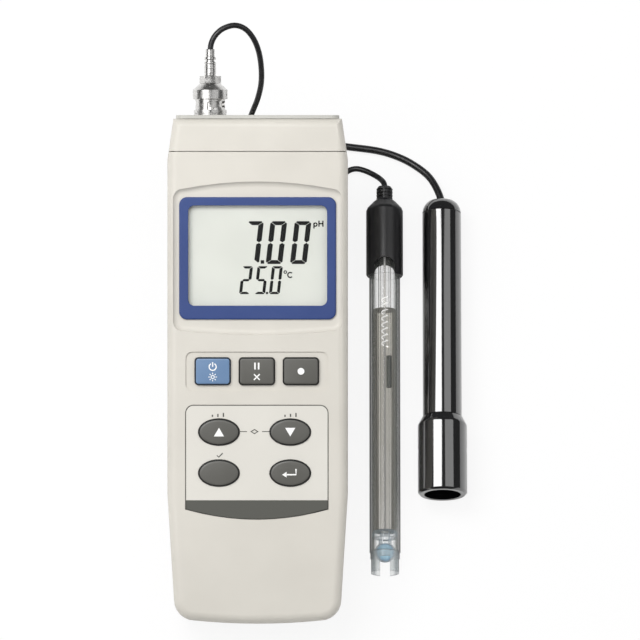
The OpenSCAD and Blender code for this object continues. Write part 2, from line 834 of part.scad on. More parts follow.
// Collar with an entry channel and a quarter-turn groove for each lug
module coax_collar() {
    groove = 1.2;
    low = rim_y - body_l;
    color("#c3c5c8") along_case(coax_x, 0) difference() {
        translate([0, 0, body_l]) rotate_extrude() polygon([
            [4.92, low], [6.3, low], [6.3, 2.2], [5.7, 2.2],
            [5.7, 6.2], [6.7, 6.4], [6.7, 9.8], [5.4, 11.1], [4.1, 12.3], [3.4, 12.3],
            [3.4, 10.5], [4.92, 10.5]
        ]);
        for (turn = [0, 180]) rotate([0, 0, turn]) {
            translate([0, 0, lug_y - groove])
                rotate_extrude(start = -90, angle = 90) square([8, 2 * groove]);
            translate([0, 0, lug_y]) rotate([0, 90, 0]) cylinder(r = groove, h = 8);
            translate([-groove, -5.65, rim_y - 1]) cube([2 * groove, 5.65, lug_y - rim_y + 1]);
            translate([0, 0, lug_y]) rotate([90, 0, 0]) cylinder(r = groove, h = 8);
        }
    }
}

module crimp_sleeve() {
    color("#b4b6b8") along_case(coax_x, 0) {
        ring(2.2, thin_lead_d / 2, body_l + 15.2, body_l + 20);
        ring(1.75, thin_lead_d / 2, body_l + 20, body_l + 25.6);
    }
}

// Leads

// Points along a route, joined by a smooth curve through its hand-set points
function pick(route, i) = route[max(0, min(len(route) - 1, i))];
function between(a, b, c, d, t) = 0.5 * (2 * b + (c - a) * t
    + (2 * a - 5 * b + 4 * c - d) * t * t + (3 * b - a - 3 * c + d) * t * t * t);
function smooth(route, steps) = [
    for (i = [0 : len(route) - 2], s = [0 : steps - 1])
        between(pick(route, i - 1), route[i], route[i + 1], pick(route, i + 2), s / steps),
    route[len(route) - 1]
];
function unit(v) = v / norm(v);
function heading(path, i) =
    unit(path[min(i + 1, len(path) - 1)] - path[max(i - 1, 0)]);
// Each ring's sideways direction is the last one's, turned square to the new heading
function side_step(side, way) = unit(side - (side * way) * way);
function sides(path) = [
    for (i = 0, side = side_step([0, 1, 1], heading(path, 0)); i < len(path);
        i = i + 1, side = side_step(side, heading(path, min(i, len(path) - 1)))) side
];

// Round lead swept along a route with eight sides
module lead(route, d, steps) {
    path = smooth(route, steps);
    side = sides(path);
    n = 8;
    points = [
        for (i = [0 : len(path) - 1], k = [0 : n - 1])
            path[i] + d / 2 * (cos(360 * k / n) * side[i]
                + sin(360 * k / n) * cross(heading(path, i), side[i]))
    ];
    faces = concat(
        [[for (k = [n - 1 : -1 : 0]) k], [for (k = [0 : n - 1]) (len(path) - 1) * n + k]],
        [for (i = [0 : len(path) - 2], k = [0 : n - 1])
            each [[i * n + k, i * n + (k + 1) % n, (i + 1) * n + (k + 1) % n],
                [i * n + k, (i + 1) * n + (k + 1) % n, (i + 1) * n + k]]]
    );
    on_bench() polyhedron(points, [for (face = faces) [for (k = [len(face) - 1 : -1 : 0]) face[k]]]);
}

// Outer shape of a flat coil of many turns lying on the bench
module coil(at, r, half, h) {
    on_bench() translate([at.x, at.y, 0]) rotate_extrude()
        translate([r, h / 2]) rounded(2 * half, h, 1);
}

module electrode_lead_upper() { color("#1c1c1e") lead(thin_route_a, thin_lead_d, 2); }
module electrode_lead_lower() { color("#1c1c1e") lead(thin_route_b, thin_lead_d, 1); }
module probe_lead_upper() { color("#1c1c1e") lead(thick_route_a, thick_lead_d, 1); }
module probe_lead_lower() { color("#1c1c1e") lead(thick_route_b, thick_lead_d, 1); }

module electrode_coil() {
    color("#1c1c1e") coil(thin_coil_at, thin_coil_r, thin_coil_half, thin_coil_h);
}

module probe_coil() {
    color("#1c1c1e") coil(thick_coil_at, thick_coil_r, thick_coil_half, thick_coil_h);
}

// The conductivity probe's plug, pulled out and lying beside its coil
module probe_plug() {
    color("#1c1c1e") on_bench() translate(plug_at) rotate([90, 0, 0]) difference() {
        rotate_extrude() polygon([
            [0, 0], [2, 0], [2.3, 5], [3.4, 7], [4.3, 9], [4.3, 23], [3.9, 24.5], [0, 24.5]
        ]);
        for (z = [1.6 : 1.4 : 5]) translate([0, 0, z]) ring(2.8, 1.75, 0, 0.6);
        translate([0, 0, -1]) cylinder(r = thick_lead_d / 2, h = 3);
        translate([0, 0, 18]) cylinder(r = 1.1, h = 8);
    }
}

// Four-pole 3.5 mm pin
module probe_plug_pin() {
    color("#cdb574") on_bench() translate(plug_at) rotate([90, 0, 0]) difference() {
        rotate_extrude() polygon([
            [0, 18], [1.1, 18], [1.1, 24.5], [2.6, 24.5], [2.6, 25.4], [1.75, 25.4],
            [1.75, 35.4], [1.1, 36.4], [1.5, 37.4], [0.5, 39.2], [0, 39.2]
        ]);
        for (z = [28.4, 31, 33.6]) translate([0, 0, z]) ring(2.2, 1.6, 0, 0.5);
    }
}

// Electrode

module electrode_cap() {
    top = electrode_l;
    full = top - boot_l - 3.4;
    low = cap_low;
    arch = 6.3;
    color("#222224") along_electrode() difference() {
        rotate_extrude() polygon([
            [0, low], [cap_d / 2 - 0.4, low], [cap_d / 2, low + cap_edge], [cap_d / 2, full - 1.2],
            [cap_d / 2 - 0.5, full], [4.2, full + 2.6], [3.15, full + 3.4], [3.15, top - 1],
            [2.4, top], [0, top]
        ]);
        translate([0, 0, low - 1]) cylinder(r = tube_seat_r, h = tube_seat_l + 1);
        translate([0, 0, top - 5]) cylinder(r = thin_lead_d / 2, h = 6);
        for (step = [0 : 2]) translate([0, 0, top - 1.9 - 1.3 * step])
            ring(4, 2.75, 0, 0.55);
        translate([0, 0, low]) rotate([90, 0, 0])
            linear_extrude(cap_d + 2, center = true) {
                translate([0, arch - 4]) circle(4);
                translate([-4, -1]) square([8, arch - 3]);
            }
    }
}

bulb_plate = guard_l + 5.5;
tube_top = cap_low + tube_seat_l;

// Its upper end is ground slimmer where it sits in the cap
module electrode_tube() {
    bore_r = glass_d / 2 - 1;
    color("#c9d2d2", 0.35) along_electrode() rotate_extrude() polygon([
        [bore_r, tube_low], [glass_d / 2, tube_low], [glass_d / 2, cap_low],
        [tube_seat_r, cap_low], [tube_seat_r, tube_top], [bore_r, tube_top]
    ]);
}

module inner_tube() {
    color("#d5dcdc", 0.35) along_electrode()
        ring(inner_tube_r, inner_tube_r - 0.7, bulb_plate, tube_top);
}

// Silver wire inside the inner tube
module reference_wire() {
    color("#9a968e") along_electrode()
        translate([0, 0, guard_l + 6]) cylinder(r = 0.4, h = cap_low - guard_l + 6);
}

// Dark reference element that stands against the inner tube, towards the viewer
module reference_element() {
    element_r = 1.05;
    color("#4a4640") along_electrode() rotate([0, 0, -63])
        translate([inner_tube_r + element_r + 0.02, 0, 73]) cylinder(r = element_r, h = 12.5);
}

module glass_bulb() {
    centre = tube_low;
    color("#b9d4e4", 0.5) along_electrode() difference() {
        union() {
            translate([0, 0, centre]) sphere(r = bulb_r);
            translate([0, 0, centre]) cylinder(r = 2.5, h = 8);
            translate([0, 0, bulb_plate - 2.4]) cylinder(r = glass_d / 2 - 1, h = 2.4);
        }
        translate([0, 0, centre]) sphere(r = bulb_r - 0.5);
        translate([0, 0, centre]) cylinder(r = 1.8, h = 9);
    }
}

// Slotted sleeve that keeps the bulb off the bottom of a beaker
module bulb_guard() {
    color("#aab4b6", 0.6) along_electrode() difference() {
        ring(tube_seat_r, glass_d / 2 - 1.1, 0, tube_low);
        for (turn = [0, 90]) rotate([0, 0, turn])
            translate([-1.9, -glass_d, -1]) cube([3.8, 2 * glass_d, guard_l - 4]);
    }
}

// Conductivity probe

module probe_dome() {
    tube_end = probe_l - dome_l;
    r = probe_d / 2;
    color("#1a1a1c") along_probe() difference() {
        rotate_extrude() polygon(concat(
            [[0, tube_end], [r, tube_end]],
            [for (a = [15 : 15 : 60]) [2.4 + (r - 2.4) * cos(a), tube_end + dome_l * sin(a)]],
            [[2.6, probe_l], [0, probe_l]]
        ));
        translate([0, 0, tube_end - 1]) cylinder(r = thick_lead_d / 2, h = dome_l + 2);
    }
}

module probe_tube() {
    color("#1a1a1c") along_probe()
        ring(probe_d / 2 - 0.01, probe_d / 2 - 1.5, head_full_l + shoulder_l + 0.3,
            probe_l - dome_l - 0.15);
}

// Open cup, with a cross hole that lets the air out
module probe_head() {
    r = probe_head_d / 2;
    seat = head_full_l + shoulder_l;
    spigot_r = probe_d / 2 - 1.6;
    color("#1a1a1c") along_probe() difference() {
        rotate_extrude() polygon([
            [0, 0], [r - 0.8, 0], [r, 0.8], [r, head_full_l], [probe_d / 2 + 0.3, seat],
            [spigot_r, seat], [spigot_r, seat + 4], [0, seat + 4]
        ]);
        translate([0, 0, -1]) cylinder(r = r - 2.4, h = 21);
        translate([0, 0, 17.8]) rotate([0, 90, 0])
            cylinder(r = 1.7, h = 2 * r + 2, center = true);
    }
}

// Four ring electrodes on a post in the cup
module probe_electrodes() {
    color("#8d8f92") along_probe() {
        translate([0, 0, 8]) cylinder(r = 1.6, h = 12);
        for (z = [9, 11.6, 14.2, 16.8]) translate([0, 0, z]) cylinder(r = 1.9, h = 1.2);
    }
}

front_case();
rear_case();
head_cap();
socket_panel();
display_bezel();
display_lens();
lcd_glass();
lcd_holder();
lcd_connectors();
backlight_panel();
keypad_mat();
key_label();
power_key();
hold_key();
record_key();
up_key();
down_key();
set_key();
enter_key();
main_board();
dome_switches();
board_chips();
board_screws();
battery();
battery_snap();
battery_cover();
cover_screw();
case_screws();
tilt_stand();
stand_pads();
stand_pin();
coax_jack();
coax_nut();
coax_insulator();
probe_jack();
coax_plug();
coax_collar();
crimp_sleeve();
electrode_lead_upper();
electrode_coil();
electrode_lead_lower();
electrode_cap();
electrode_tube();
inner_tube();
reference_wire();
reference_element();
glass_bulb();
bulb_guard();
probe_lead_upper();
probe_coil();
probe_lead_lower();
probe_plug();
probe_plug_pin();
probe_dome();
probe_tube();
probe_head();
probe_electrodes();
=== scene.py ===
"""Dresses a portable multiparameter meter with its electrode and conductivity probe on a bench.

Lengths given in millimetres are turned to metres by mm(). Case points are measured across the
case, along it from its lower end, and up from its back, and case_point() places them on the
propped case. Bench points are measured over the bench, as in the part's own source.
"""

import json
import math

import bmesh
import bpy
from mathutils import Matrix, Vector

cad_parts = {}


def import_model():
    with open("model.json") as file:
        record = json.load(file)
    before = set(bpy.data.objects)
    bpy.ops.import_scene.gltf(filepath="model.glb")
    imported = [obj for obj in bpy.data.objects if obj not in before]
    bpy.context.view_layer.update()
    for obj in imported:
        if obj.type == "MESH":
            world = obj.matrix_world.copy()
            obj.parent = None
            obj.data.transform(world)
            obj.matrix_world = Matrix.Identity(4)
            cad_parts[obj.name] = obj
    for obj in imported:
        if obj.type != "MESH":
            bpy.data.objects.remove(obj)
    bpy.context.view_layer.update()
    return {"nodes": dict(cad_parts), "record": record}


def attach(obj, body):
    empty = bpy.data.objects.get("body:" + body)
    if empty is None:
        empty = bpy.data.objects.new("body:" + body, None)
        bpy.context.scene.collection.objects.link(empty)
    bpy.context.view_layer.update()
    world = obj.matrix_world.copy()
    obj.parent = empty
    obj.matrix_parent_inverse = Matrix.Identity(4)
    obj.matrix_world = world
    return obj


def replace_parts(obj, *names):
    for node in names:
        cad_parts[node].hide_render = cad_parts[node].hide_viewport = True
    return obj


bl_info = {
    "name": "Portable multiparameter meter",
    "version": (1, 0, 0),
    "blender": (4, 5, 0),
    "location": "3D View > Sidebar > Meter",
    "description": "Finishes, prints and leads for a hand-held meter with two probes",
    "category": "Object",
}

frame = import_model()

# Places taken from the frame

TILT = math.radians(15)
HINGE_ON_CASE = Vector((0, 120, 2.5)) / 1000
JOINTS = {joint["name"]: joint for joint in frame["record"]["behaviour"]["joints"]}
HINGE = Vector(JOINTS["stand_hinge"]["pos_m"])
CASE_FRAME = (
    Matrix.Translation(HINGE) @ Matrix.Rotation(TILT, 4, "X") @ Matrix.Translation(-HINGE_ON_CASE)
)
LEAN_OF_HINGE = Matrix.Rotation(TILT, 3, "X") @ HINGE_ON_CASE
BENCH_SHIFT = Vector((HINGE.x, HINGE.y - LEAN_OF_HINGE.y, 0))
OUT_OF_CASE = (CASE_FRAME.to_3x3() @ Vector((0, 0, 1))).normalized()
ALONG_CASE = (CASE_FRAME.to_3x3() @ Vector((0, 1, 0))).normalized()


def mm(value):
    """Millimetres as metres."""
    return value / 1000


def case_point(x, y, z):
    """A point of the case, in millimetres, placed in the shared frame."""
    return CASE_FRAME @ Vector((mm(x), mm(y), mm(z)))


def bench_point(point):
    """A point over the bench, in millimetres, placed in the shared frame."""
    return Vector(point) / 1000 + BENCH_SHIFT


def linear(hex_colour):
    """An sRGB hex colour as linear red, green, blue and alpha."""
    parts = [int(hex_colour[i : i + 2], 16) / 255 for i in (1, 3, 5)]
    turned = [p / 12.92 if p <= 0.04045 else ((p + 0.055) / 1.055) ** 2.4 for p in parts]
    return (*turned, 1.0)


# Materials


def add_node(tree, kind, settings=None, links=None):
    """One node with its settings, and links from (node, output) to its inputs."""
    node = tree.nodes.new(kind)
    for key, value in (settings or {}).items():
        if key in node.inputs:
            node.inputs[key].default_value = value
        else:
            setattr(node, key, value)
    for key, (source, output) in (links or {}).items():
        tree.links.new(source.outputs[output], node.inputs[key])
    return node


def start_material(name, colour, **sockets):
    """A material with its Principled shader, whose constant values are set on its sockets."""
    material = bpy.data.materials.new(name)
    material.use_nodes = True
    tree = material.node_tree
    shader = tree.nodes["Principled BSDF"]
    shader.inputs["Base Color"].default_value = linear(colour)
    for key, value in sockets.items():
        shader.inputs[key.replace("_", " ")].default_value = value
    material.diffuse_color = linear(colour)
    return material, tree, shader


def noise_over(tree, place, size_mm, detail, roughness=0.5):
    """Soft noise of a real size in millimetres over the surface."""
    settings = {"Scale": 1 / mm(size_mm), "Detail": detail, "Roughness": roughness}
    return add_node(tree, "ShaderNodeTexNoise", settings, {"Vector": (place, "Object")})


def bumps(tree, shader, pattern, depth_mm, strength=1.0):
    """Relief of a real depth in millimetres from a pattern."""
    settings = {"Strength": strength, "Distance": mm(depth_mm)}
    bump = add_node(tree, "ShaderNodeBump", settings, {"Height": (pattern, "Fac")})
    tree.links.new(bump.outputs["Normal"], shader.inputs["Normal"])


def map_range(tree, source, start=(0, 1), end=(0, 1)):
    """The value of a (node, output), carried from one span onto another."""
    spans = {"From Min": start[0], "From Max": start[1], "To Min": end[0], "To Max": end[1]}
    return add_node(tree, "ShaderNodeMapRange", spans, {"Value": source})


def two_tones(tree, source, *stops):
    """Ramp over the value of a (node, output) between two stops (colour, position)."""
    ramp = add_node(tree, "ShaderNodeValToRGB", {}, {"Fac": source})
    for element, (colour, position) in zip(ramp.color_ramp.elements, stops):
        element.color = linear(colour)
        element.position = position
    return ramp


def math_node(tree, operation, *terms):
    """A calculation on plain numbers and on the values of (node, output) pairs."""
    node = add_node(tree, "ShaderNodeMath", {"operation": operation})
    for term, socket in zip(terms, node.inputs):
        if isinstance(term, tuple):
            tree.links.new(term[0].outputs[term[1]], socket)
        else:
            socket.default_value = term
    return node


def grain(tree, shader, size_mm, depth_mm, detail=2.0):
    """Grain over the surface, with its size and depth in millimetres."""
    place = add_node(tree, "ShaderNodeTexCoord")
    bumps(tree, shader, noise_over(tree, place, size_mm, detail, 0.55), depth_mm)
    return place


def tone(tree, shader, place, light, dark, size_mm):
    """Slow change of tone between two colours, at a real size in millimetres."""
    noise = noise_over(tree, place, size_mm, 3.0)
    ramp = two_tones(tree, (noise, "Fac"), (dark, 0.35), (light, 0.65))
    tree.links.new(ramp.outputs["Color"], shader.inputs["Base Color"])


def worn_roughness(tree, shader, place, low, high, size_mm):
    """Roughness that drifts between two values, as handling leaves it."""
    noise = noise_over(tree, place, size_mm, 4.0)
    spread = map_range(tree, (noise, "Fac"), (0.3, 0.7), (low, high))
    tree.links.new(spread.outputs["Result"], shader.inputs["Roughness"])


def moulded_plastic(name, light, dark, roughness, grain_mm=0.5, depth_mm=0.012):
    """ABS from a spark-eroded mould: an even, fine-grained sheen with a faint drift of tone."""
    material, tree, shader = start_material(name, light, Roughness=roughness, IOR=1.53)
    place = grain(tree, shader, grain_mm, depth_mm)
    tone(tree, shader, place, light, dark, 30)
    worn_roughness(tree, shader, place, roughness - 0.06, roughness + 0.06, 9)
    return material


def polished_black_acetal(name, colour):
    """Turned and lacquered black plastic: broad clear reflections with faint turning marks."""
    material, tree, shader = start_material(name, colour, Roughness=0.12, IOR=1.6)
    shader.inputs["Coat Weight"].default_value = 1.0
    shader.inputs["Coat Roughness"].default_value = 0.06
    shader.inputs["Coat IOR"].default_value = 1.8
    place = grain(tree, shader, 1.2, 0.0008, 4.0)
    worn_roughness(tree, shader, place, 0.09, 0.15, 6)
    return material


def plated_nickel(name, colour, roughness):
    """Bright nickel over turned brass: mirror-like, softened by fine machining rings."""
    material, tree, shader = start_material(name, colour, Metallic=1.0, Roughness=roughness)
    place = add_node(tree, "ShaderNodeTexCoord")
    rings = {"bands_direction": "Y", "Scale": 0.31 / mm(0.35), "Distortion": 0.6, "Detail": 2.0}
    wave = add_node(tree, "ShaderNodeTexWave", rings, {"Vector": (place, "Object")})
    bumps(tree, shader, wave, 0.004, 0.6)
    worn_roughness(tree, shader, place, roughness * 0.7, roughness * 1.4, 2)
    return material


def extruded_pvc(name, colour):
    """Extruded soft PVC jacket: satin black with a slight waviness along the lead."""
    material, tree, shader = start_material(name, colour, Roughness=0.38, IOR=1.54)
    place = grain(tree, shader, 1.6, 0.01, 1.0)
    worn_roughness(tree, shader, place, 0.3, 0.46, 5)
    return material


SHADOW_SHARE = 0.15
GEL_GLOW = 0.4


def open_to_light(tree, shader, alpha):
    """Clear stuff dims a view through it, yet lets most of the light in to what lies behind it."""
    path = add_node(tree, "ShaderNodeLightPath")
    kept = map_range(tree, (path, "Is Camera Ray"), end=(SHADOW_SHARE, 1))
    product = math_node(tree, "MULTIPLY", alpha, (kept, "Result"))
    tree.links.new(product.outputs["Value"], shader.inputs["Alpha"])


def clear_material(name, colour, rim_shade_colour, alpha, edge_alpha, roughness, ior, rim=(0.12, 0.5)):
    """Clear piece: light passes straight through its middle; towards its edges it grows opaque, and
    a darker colour is painted there as shade.
    """
    material, tree, shader = start_material(name, colour, Roughness=roughness, IOR=ior)
    place = add_node(tree, "ShaderNodeTexCoord")
    edge = add_node(tree, "ShaderNodeLayerWeight", {"Blend": 0.3})
    spread = map_range(tree, (edge, "Facing"), rim, (alpha, edge_alpha))
    open_to_light(tree, shader, (spread, "Result"))
    # Painted shade: the colour turns darker where the surface turns from the eye
    stops = (colour, rim[0]), (rim_shade_colour, rim[1] - 0.05)
    ramp = two_tones(tree, (edge, "Facing"), *stops)
    tree.links.new(ramp.outputs["Color"], shader.inputs["Base Color"])
    worn_roughness(tree, shader, place, roughness, roughness + 0.04, 4)
    return material


def graded_gel(name, low_colour, high_colour, rim_shade_colour, low_alpha, high_alpha):
    """Electrolyte gel, lighter and clearer near the bulb, darker and cloudier towards the cap.

    Its faint glow stands for the light that the gel scatters, which few rays bring back through
    so many clear walls.
    """
    material, tree, shader = start_material(
        name, high_colour, Roughness=0.35, IOR=1.36, Emission_Strength=GEL_GLOW
    )
    place = add_node(tree, "ShaderNodeTexCoord")
    split = add_node(tree, "ShaderNodeSeparateXYZ", {}, {"Vector": (place, "Generated")})
    noise = noise_over(tree, place, 7, 3.0)
    drift = math_node(tree, "MULTIPLY_ADD", (noise, "Fac"), 0.5, (split, "Y"))
    ramp = two_tones(tree, (drift, "Value"), (low_colour, 0.3), (high_colour, 0.75))
    # Past the inner tube's width the column's wall turns from the eye, and a dark colour is painted
    # there as shade
    edge = add_node(tree, "ShaderNodeLayerWeight", {"Blend": 0.3})
    around = map_range(tree, (edge, "Facing"), (0.07, 0.13))
    darker = add_node(tree, "ShaderNodeMix", {"data_type": "RGBA"}, {"Factor": (around, "Result")})
    colour_a, colour_b, mixed = darker.inputs[6], darker.inputs[7], darker.outputs[2]
    tree.links.new(ramp.outputs["Color"], colour_a)
    colour_b.default_value = linear(rim_shade_colour)
    tree.links.new(mixed, shader.inputs["Base Color"])
    tree.links.new(mixed, shader.inputs["Emission Color"])
    middle = map_range(tree, (drift, "Value"), (0.3, 0.8), (low_alpha, high_alpha))
    spread = map_range(tree, (edge, "Facing"), (0.14, 0.4), (0, 0.8))
    tree.links.new(middle.outputs["Result"], spread.inputs["To Min"])
    # The far wall, seen from inside, stands for the depth of gel that scatters the light
    inside = add_node(tree, "ShaderNodeNewGeometry")
    body = math_node(tree, "MAXIMUM", (spread, "Result"), (inside, "Backfacing"))
    open_to_light(tree, shader, (body, "Value"))
    return material


def printed_ink(name, colour):
    """Screen-printed ink: flat, slightly rough and very thin."""
    material, tree, shader = start_material(name, colour, Roughness=0.7, Specular_IOR_Level=0.2)
    grain(tree, shader, 0.3, 0.003)
    return material


def etched_display(name, colour, dark):
    """Reflective liquid-crystal cell: a matte grey field with a very fine rubbed grain."""
    material, tree, shader = start_material(name, colour, Roughness=0.5)
    place = grain(tree, shader, 0.4, 0.002)
    tone(tree, shader, place, colour, dark, 18)
    return material


def solder_mask(name, light, dark):
    """Glass-epoxy laminate under green solder mask, with a faint weave of 0.5 mm threads."""
    material, tree, shader = start_material(name, light, Roughness=0.35)
    place = grain(tree, shader, 0.5, 0.01)
    tone(tree, shader, place, light, dark, 4)
    return material


def rolled_metal(name, colour, roughness, metallic=1.0, glow=0.0):
    """Rolled or drawn metal with fine scratches that spread its reflections.

    A glow stands for the scattered light that many clear walls take away.
    """
    material, tree, shader = start_material(
        name, colour, Metallic=metallic, Roughness=roughness, Emission_Strength=glow
    )
    place = grain(tree, shader, 0.6, 0.003, 4.0)
    worn_roughness(tree, shader, place, roughness * 0.7, roughness * 1.3, 3)
    return material


MATERIALS = {}


def make_materials(look):
    """All finishes of the set, named for the real material and process."""
    MATERIALS.update({
        "case": moulded_plastic("moulded_abs_warm_grey", look.case_colour, "#cdc9c0", 0.5),
        # Cool grey of the socket panel and stand, set darker than its own tone partly as painted
        # shade for the panel's recessed ledge
        "panel": moulded_plastic("moulded_abs_cool_grey", "#bebdb7", "#b8b7b1", 0.52),
        "bezel": moulded_plastic("moulded_abs_blue", look.bezel_colour, "#253e7a", 0.45, 0.4),
        "key_blue": moulded_plastic("moulded_key_slate_blue", "#6a88ad", "#6280a4", 0.4, 0.4),
        "key_grey": moulded_plastic("moulded_key_graphite", "#5c5b56", "#55544f", 0.42, 0.4),
        # Near-black for the keys' side faces: painted shade round each key
        "key_side_shade": moulded_plastic("key_sides_painted_shade", "#1d1d1c", "#191918", 0.5, 0.4),
        "label": moulded_plastic("printed_polyester_film", "#d8d5cd", "#d4d1c9", 0.55, 0.3),
        "black": moulded_plastic("moulded_pvc_black", "#1f1f21", "#1a1a1c", 0.38, 0.6),
        "white": moulded_plastic("moulded_nylon_white", "#ecebe4", "#e2e1da", 0.5),
        "silicone": moulded_plastic("moulded_silicone_grey", "#7d8791", "#757f89", 0.6),
        "rubber": moulded_plastic("moulded_rubber_black", "#2a2a2a", "#242424", 0.7, 0.8, 0.03),
        "epoxy": moulded_plastic("moulded_chip_epoxy", "#2b2b2d", "#262628", 0.6, 0.2),
        "junction": moulded_plastic("pressed_reference_salt", "#1f2b29", "#182220", 0.6, 0.5),
        "polished": polished_black_acetal("polished_acetal_black", "#0d0d0f"),
        "nickel": plated_nickel("nickel_plated_brass", "#d2d1cf", 0.25),
        "steel": rolled_metal("zinc_plated_steel", "#b9bcc0", 0.3),
        # Both silver wires glow as painted light, the helix more strongly, for light that the clear
        # walls round them keep out
        "silver": rolled_metal("drawn_silver_wire", "#e2e0da", 0.45, 0.3, glow=0.12),
        "silver_painted_glow": rolled_metal("silver_wire_painted_glow", "#e2e0da", 0.45, 0.3, glow=0.75),
        "gold": rolled_metal("gold_plated_brass", "#c9ac62", 0.25),
        "jacket": rolled_metal("lacquered_steel_jacket", "#3d4347", 0.4, 0.6),
        "board": solder_mask("green_solder_mask", "#2f6b45", "#28603c"),
        "pvc": extruded_pvc("extruded_pvc_lead", "#141416"),
        "display": etched_display("reflective_lcd_cell", look.display_colour, "#d0d2ca"),
        "segment": printed_ink("lcd_segment_black", "#0b0b0b"),
        "ink_white": printed_ink("screen_ink_white", "#f4f4f2"),
        "ink_grey": printed_ink("screen_ink_grey", "#5a5a55"),
        "acrylic": clear_material("polished_acrylic", "#f2f5f2", "#c9d2ce", 0.005, 0.3, 0.03, 1.49),
        "glass": clear_material("drawn_borosilicate_glass", "#b4b7b3", "#3c3e3d", 0.05, 0.9, 0.03,
                                1.47),
        "inner_glass": clear_material("drawn_glass_stem", "#efece5", "#1d2223", 0.05, 0.95, 0.05,
                                      1.47, (0.3, 0.6)),
        "bulb_glass": clear_material("blown_sensing_glass", "#dbeaf2", "#7593a6", 0.1, 0.6, 0.04,
                                     1.5),
        "buffer": clear_material("dyed_inner_buffer", "#a9dcf6", "#5fb0de", 0.6, 0.95, 0.1, 1.35),
        "guard": clear_material("moulded_clear_acrylic", "#bfc8ca", "#4a545a", 0.22, 0.85, 0.08,
                                1.49),
        "gel": graded_gel("potassium_chloride_gel", "#fbf8f2", "#e8e4da", "#64625c", 0.02,
                           0.06),
    })


# Making pieces

SHARP_FROM = 35
SOFTENED_FROM = math.radians(40)
FLAT_WITHIN = math.radians(0.4)
WELD_MM = 0.002


def in_scene(name, data):
    """A new object in the scene."""
    added = bpy.data.objects.new(name, data)
    bpy.context.scene.collection.objects.link(added)
    return added


def new_piece(name, data, material, body):
    """A named object that carries its material and rides on its body."""
    piece = in_scene(name, data)
    data.materials.append(MATERIALS[material])
    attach(piece, body)
    return piece


def finish_mesh(form, name, smooth_angle):
    """A bmesh as a mesh whose edges past an angle in degrees stay sharp."""
    mesh = bpy.data.meshes.new(name)
    form.to_mesh(mesh)
    form.free()
    mesh.shade_smooth()
    mesh.set_sharp_from_angle(angle=math.radians(smooth_angle))
    return mesh


def make_piece(form, name, material, body, smooth_angle=SHARP_FROM):
    """A piece from a bmesh whose faces are all turned outwards first."""
    bmesh.ops.recalc_face_normals(form, faces=form.faces)
    return new_piece(name, finish_mesh(form, name, smooth_angle), material, body)


def wire_curve(name, spots, diameter, resolution, material, capped=False):
    """A wire or lead as one open curve through spots in metres, of a thickness in millimetres."""
    curve = bpy.data.curves.new(name, "CURVE")
    curve.dimensions = "3D"
    curve.bevel_depth = mm(diameter) / 2
    curve.bevel_resolution = resolution
    curve.use_fill_caps = capped
    spline = curve.splines.new("POLY")
    spline.points.add(len(spots) - 1)
    for target, spot in zip(spline.points, spots):
        target.co = (*spot, 1.0)
    return new_piece(name, curve, material, "meter")


def body_of_node(node):
    """The body that carries a node."""
    bodies = frame["record"]["behaviour"]["bodies"]
    return next(name for name, nodes in bodies.items() if node in nodes)


def dressed(node, material, soften_mm=0.0, segments=2, smooth_angle=SHARP_FROM):
    """A finer copy of a node: welded, with flat faces joined and edges softened."""
    form = bmesh.new()
    form.from_mesh(frame["nodes"][node].data)
    bmesh.ops.remove_doubles(form, verts=form.verts, dist=mm(WELD_MM))
    bmesh.ops.dissolve_limit(form, angle_limit=FLAT_WITHIN, verts=form.verts, edges=form.edges)
    name = node + "_finished"
    mesh = finish_mesh(form, name, smooth_angle)
    piece = new_piece(name, mesh, material, body_of_node(node))
    if soften_mm:
        bevel = piece.modifiers.new("softened_edges", "BEVEL")
        bevel.width = mm(soften_mm)
        bevel.segments = segments
        bevel.limit_method = "ANGLE"
        bevel.angle_limit = SOFTENED_FROM
        piece.modifiers.new("even_shading", "WEIGHTED_NORMAL").keep_sharp = True
    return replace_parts(piece, node)


def coat(node, material):
    """Gives a node that is shown as it is its finish."""
    mesh = frame["nodes"][node].data
    mesh.materials.clear()
    mesh.materials.append(MATERIALS[material])


def add_slab(form, outline, low, high):
    """A thin plate in the case frame, from an outline in millimetres and two heights."""
    lower = [form.verts.new(case_point(x, y, low)) for x, y in outline]
    upper = [form.verts.new(case_point(x, y, high)) for x, y in outline]
    form.faces.new(upper)
    form.faces.new(list(reversed(lower)))
    count = len(outline)
    for i in range(count):
        j = (i + 1) % count
        form.faces.new((lower[i], lower[j], upper[j], upper[i]))


def add_skin(form, rings, closed=True):
    """Faces from each ring of points to the next, and from the last ring to the first."""
    count = len(rings[0])
    for i in range(count if closed else count - 1):
        j = (i + 1) % count
        for a, b in zip(rings, rings[1:] + rings[:1]):
            form.faces.new((a[i], a[j], b[j], b[i]))


def add_band(form, outer, inner, low, high, closed=True):
    """A thin plate between two outlines that have as many points as each other."""
    rings = [
        [form.verts.new(case_point(x, y, z)) for x, y in outline]
        for outline, z in ((outer, low), (outer, high), (inner, high), (inner, low))
    ]
    add_skin(form, rings, closed)
    if not closed:
        form.faces.new([rings[k][0] for k in (0, 1, 2, 3)])
        form.faces.new([rings[k][-1] for k in (3, 2, 1, 0)])


def arc(x, y, radius, start, end, steps=24):
    """Points along an arc, with its angles in degrees."""
    turns = [start + (end - start) * i / steps for i in range(steps + 1)]
    return [
        (x + radius * math.cos(math.radians(t)), y + radius * math.sin(math.radians(t)))
        for t in turns
    ]


def add_ring(form, x, y, r_out, r_in, low, high):
    """A printed ring round a point."""
    add_band(form, arc(x, y, r_out, 0, 360), arc(x, y, r_in, 0, 360), low, high)


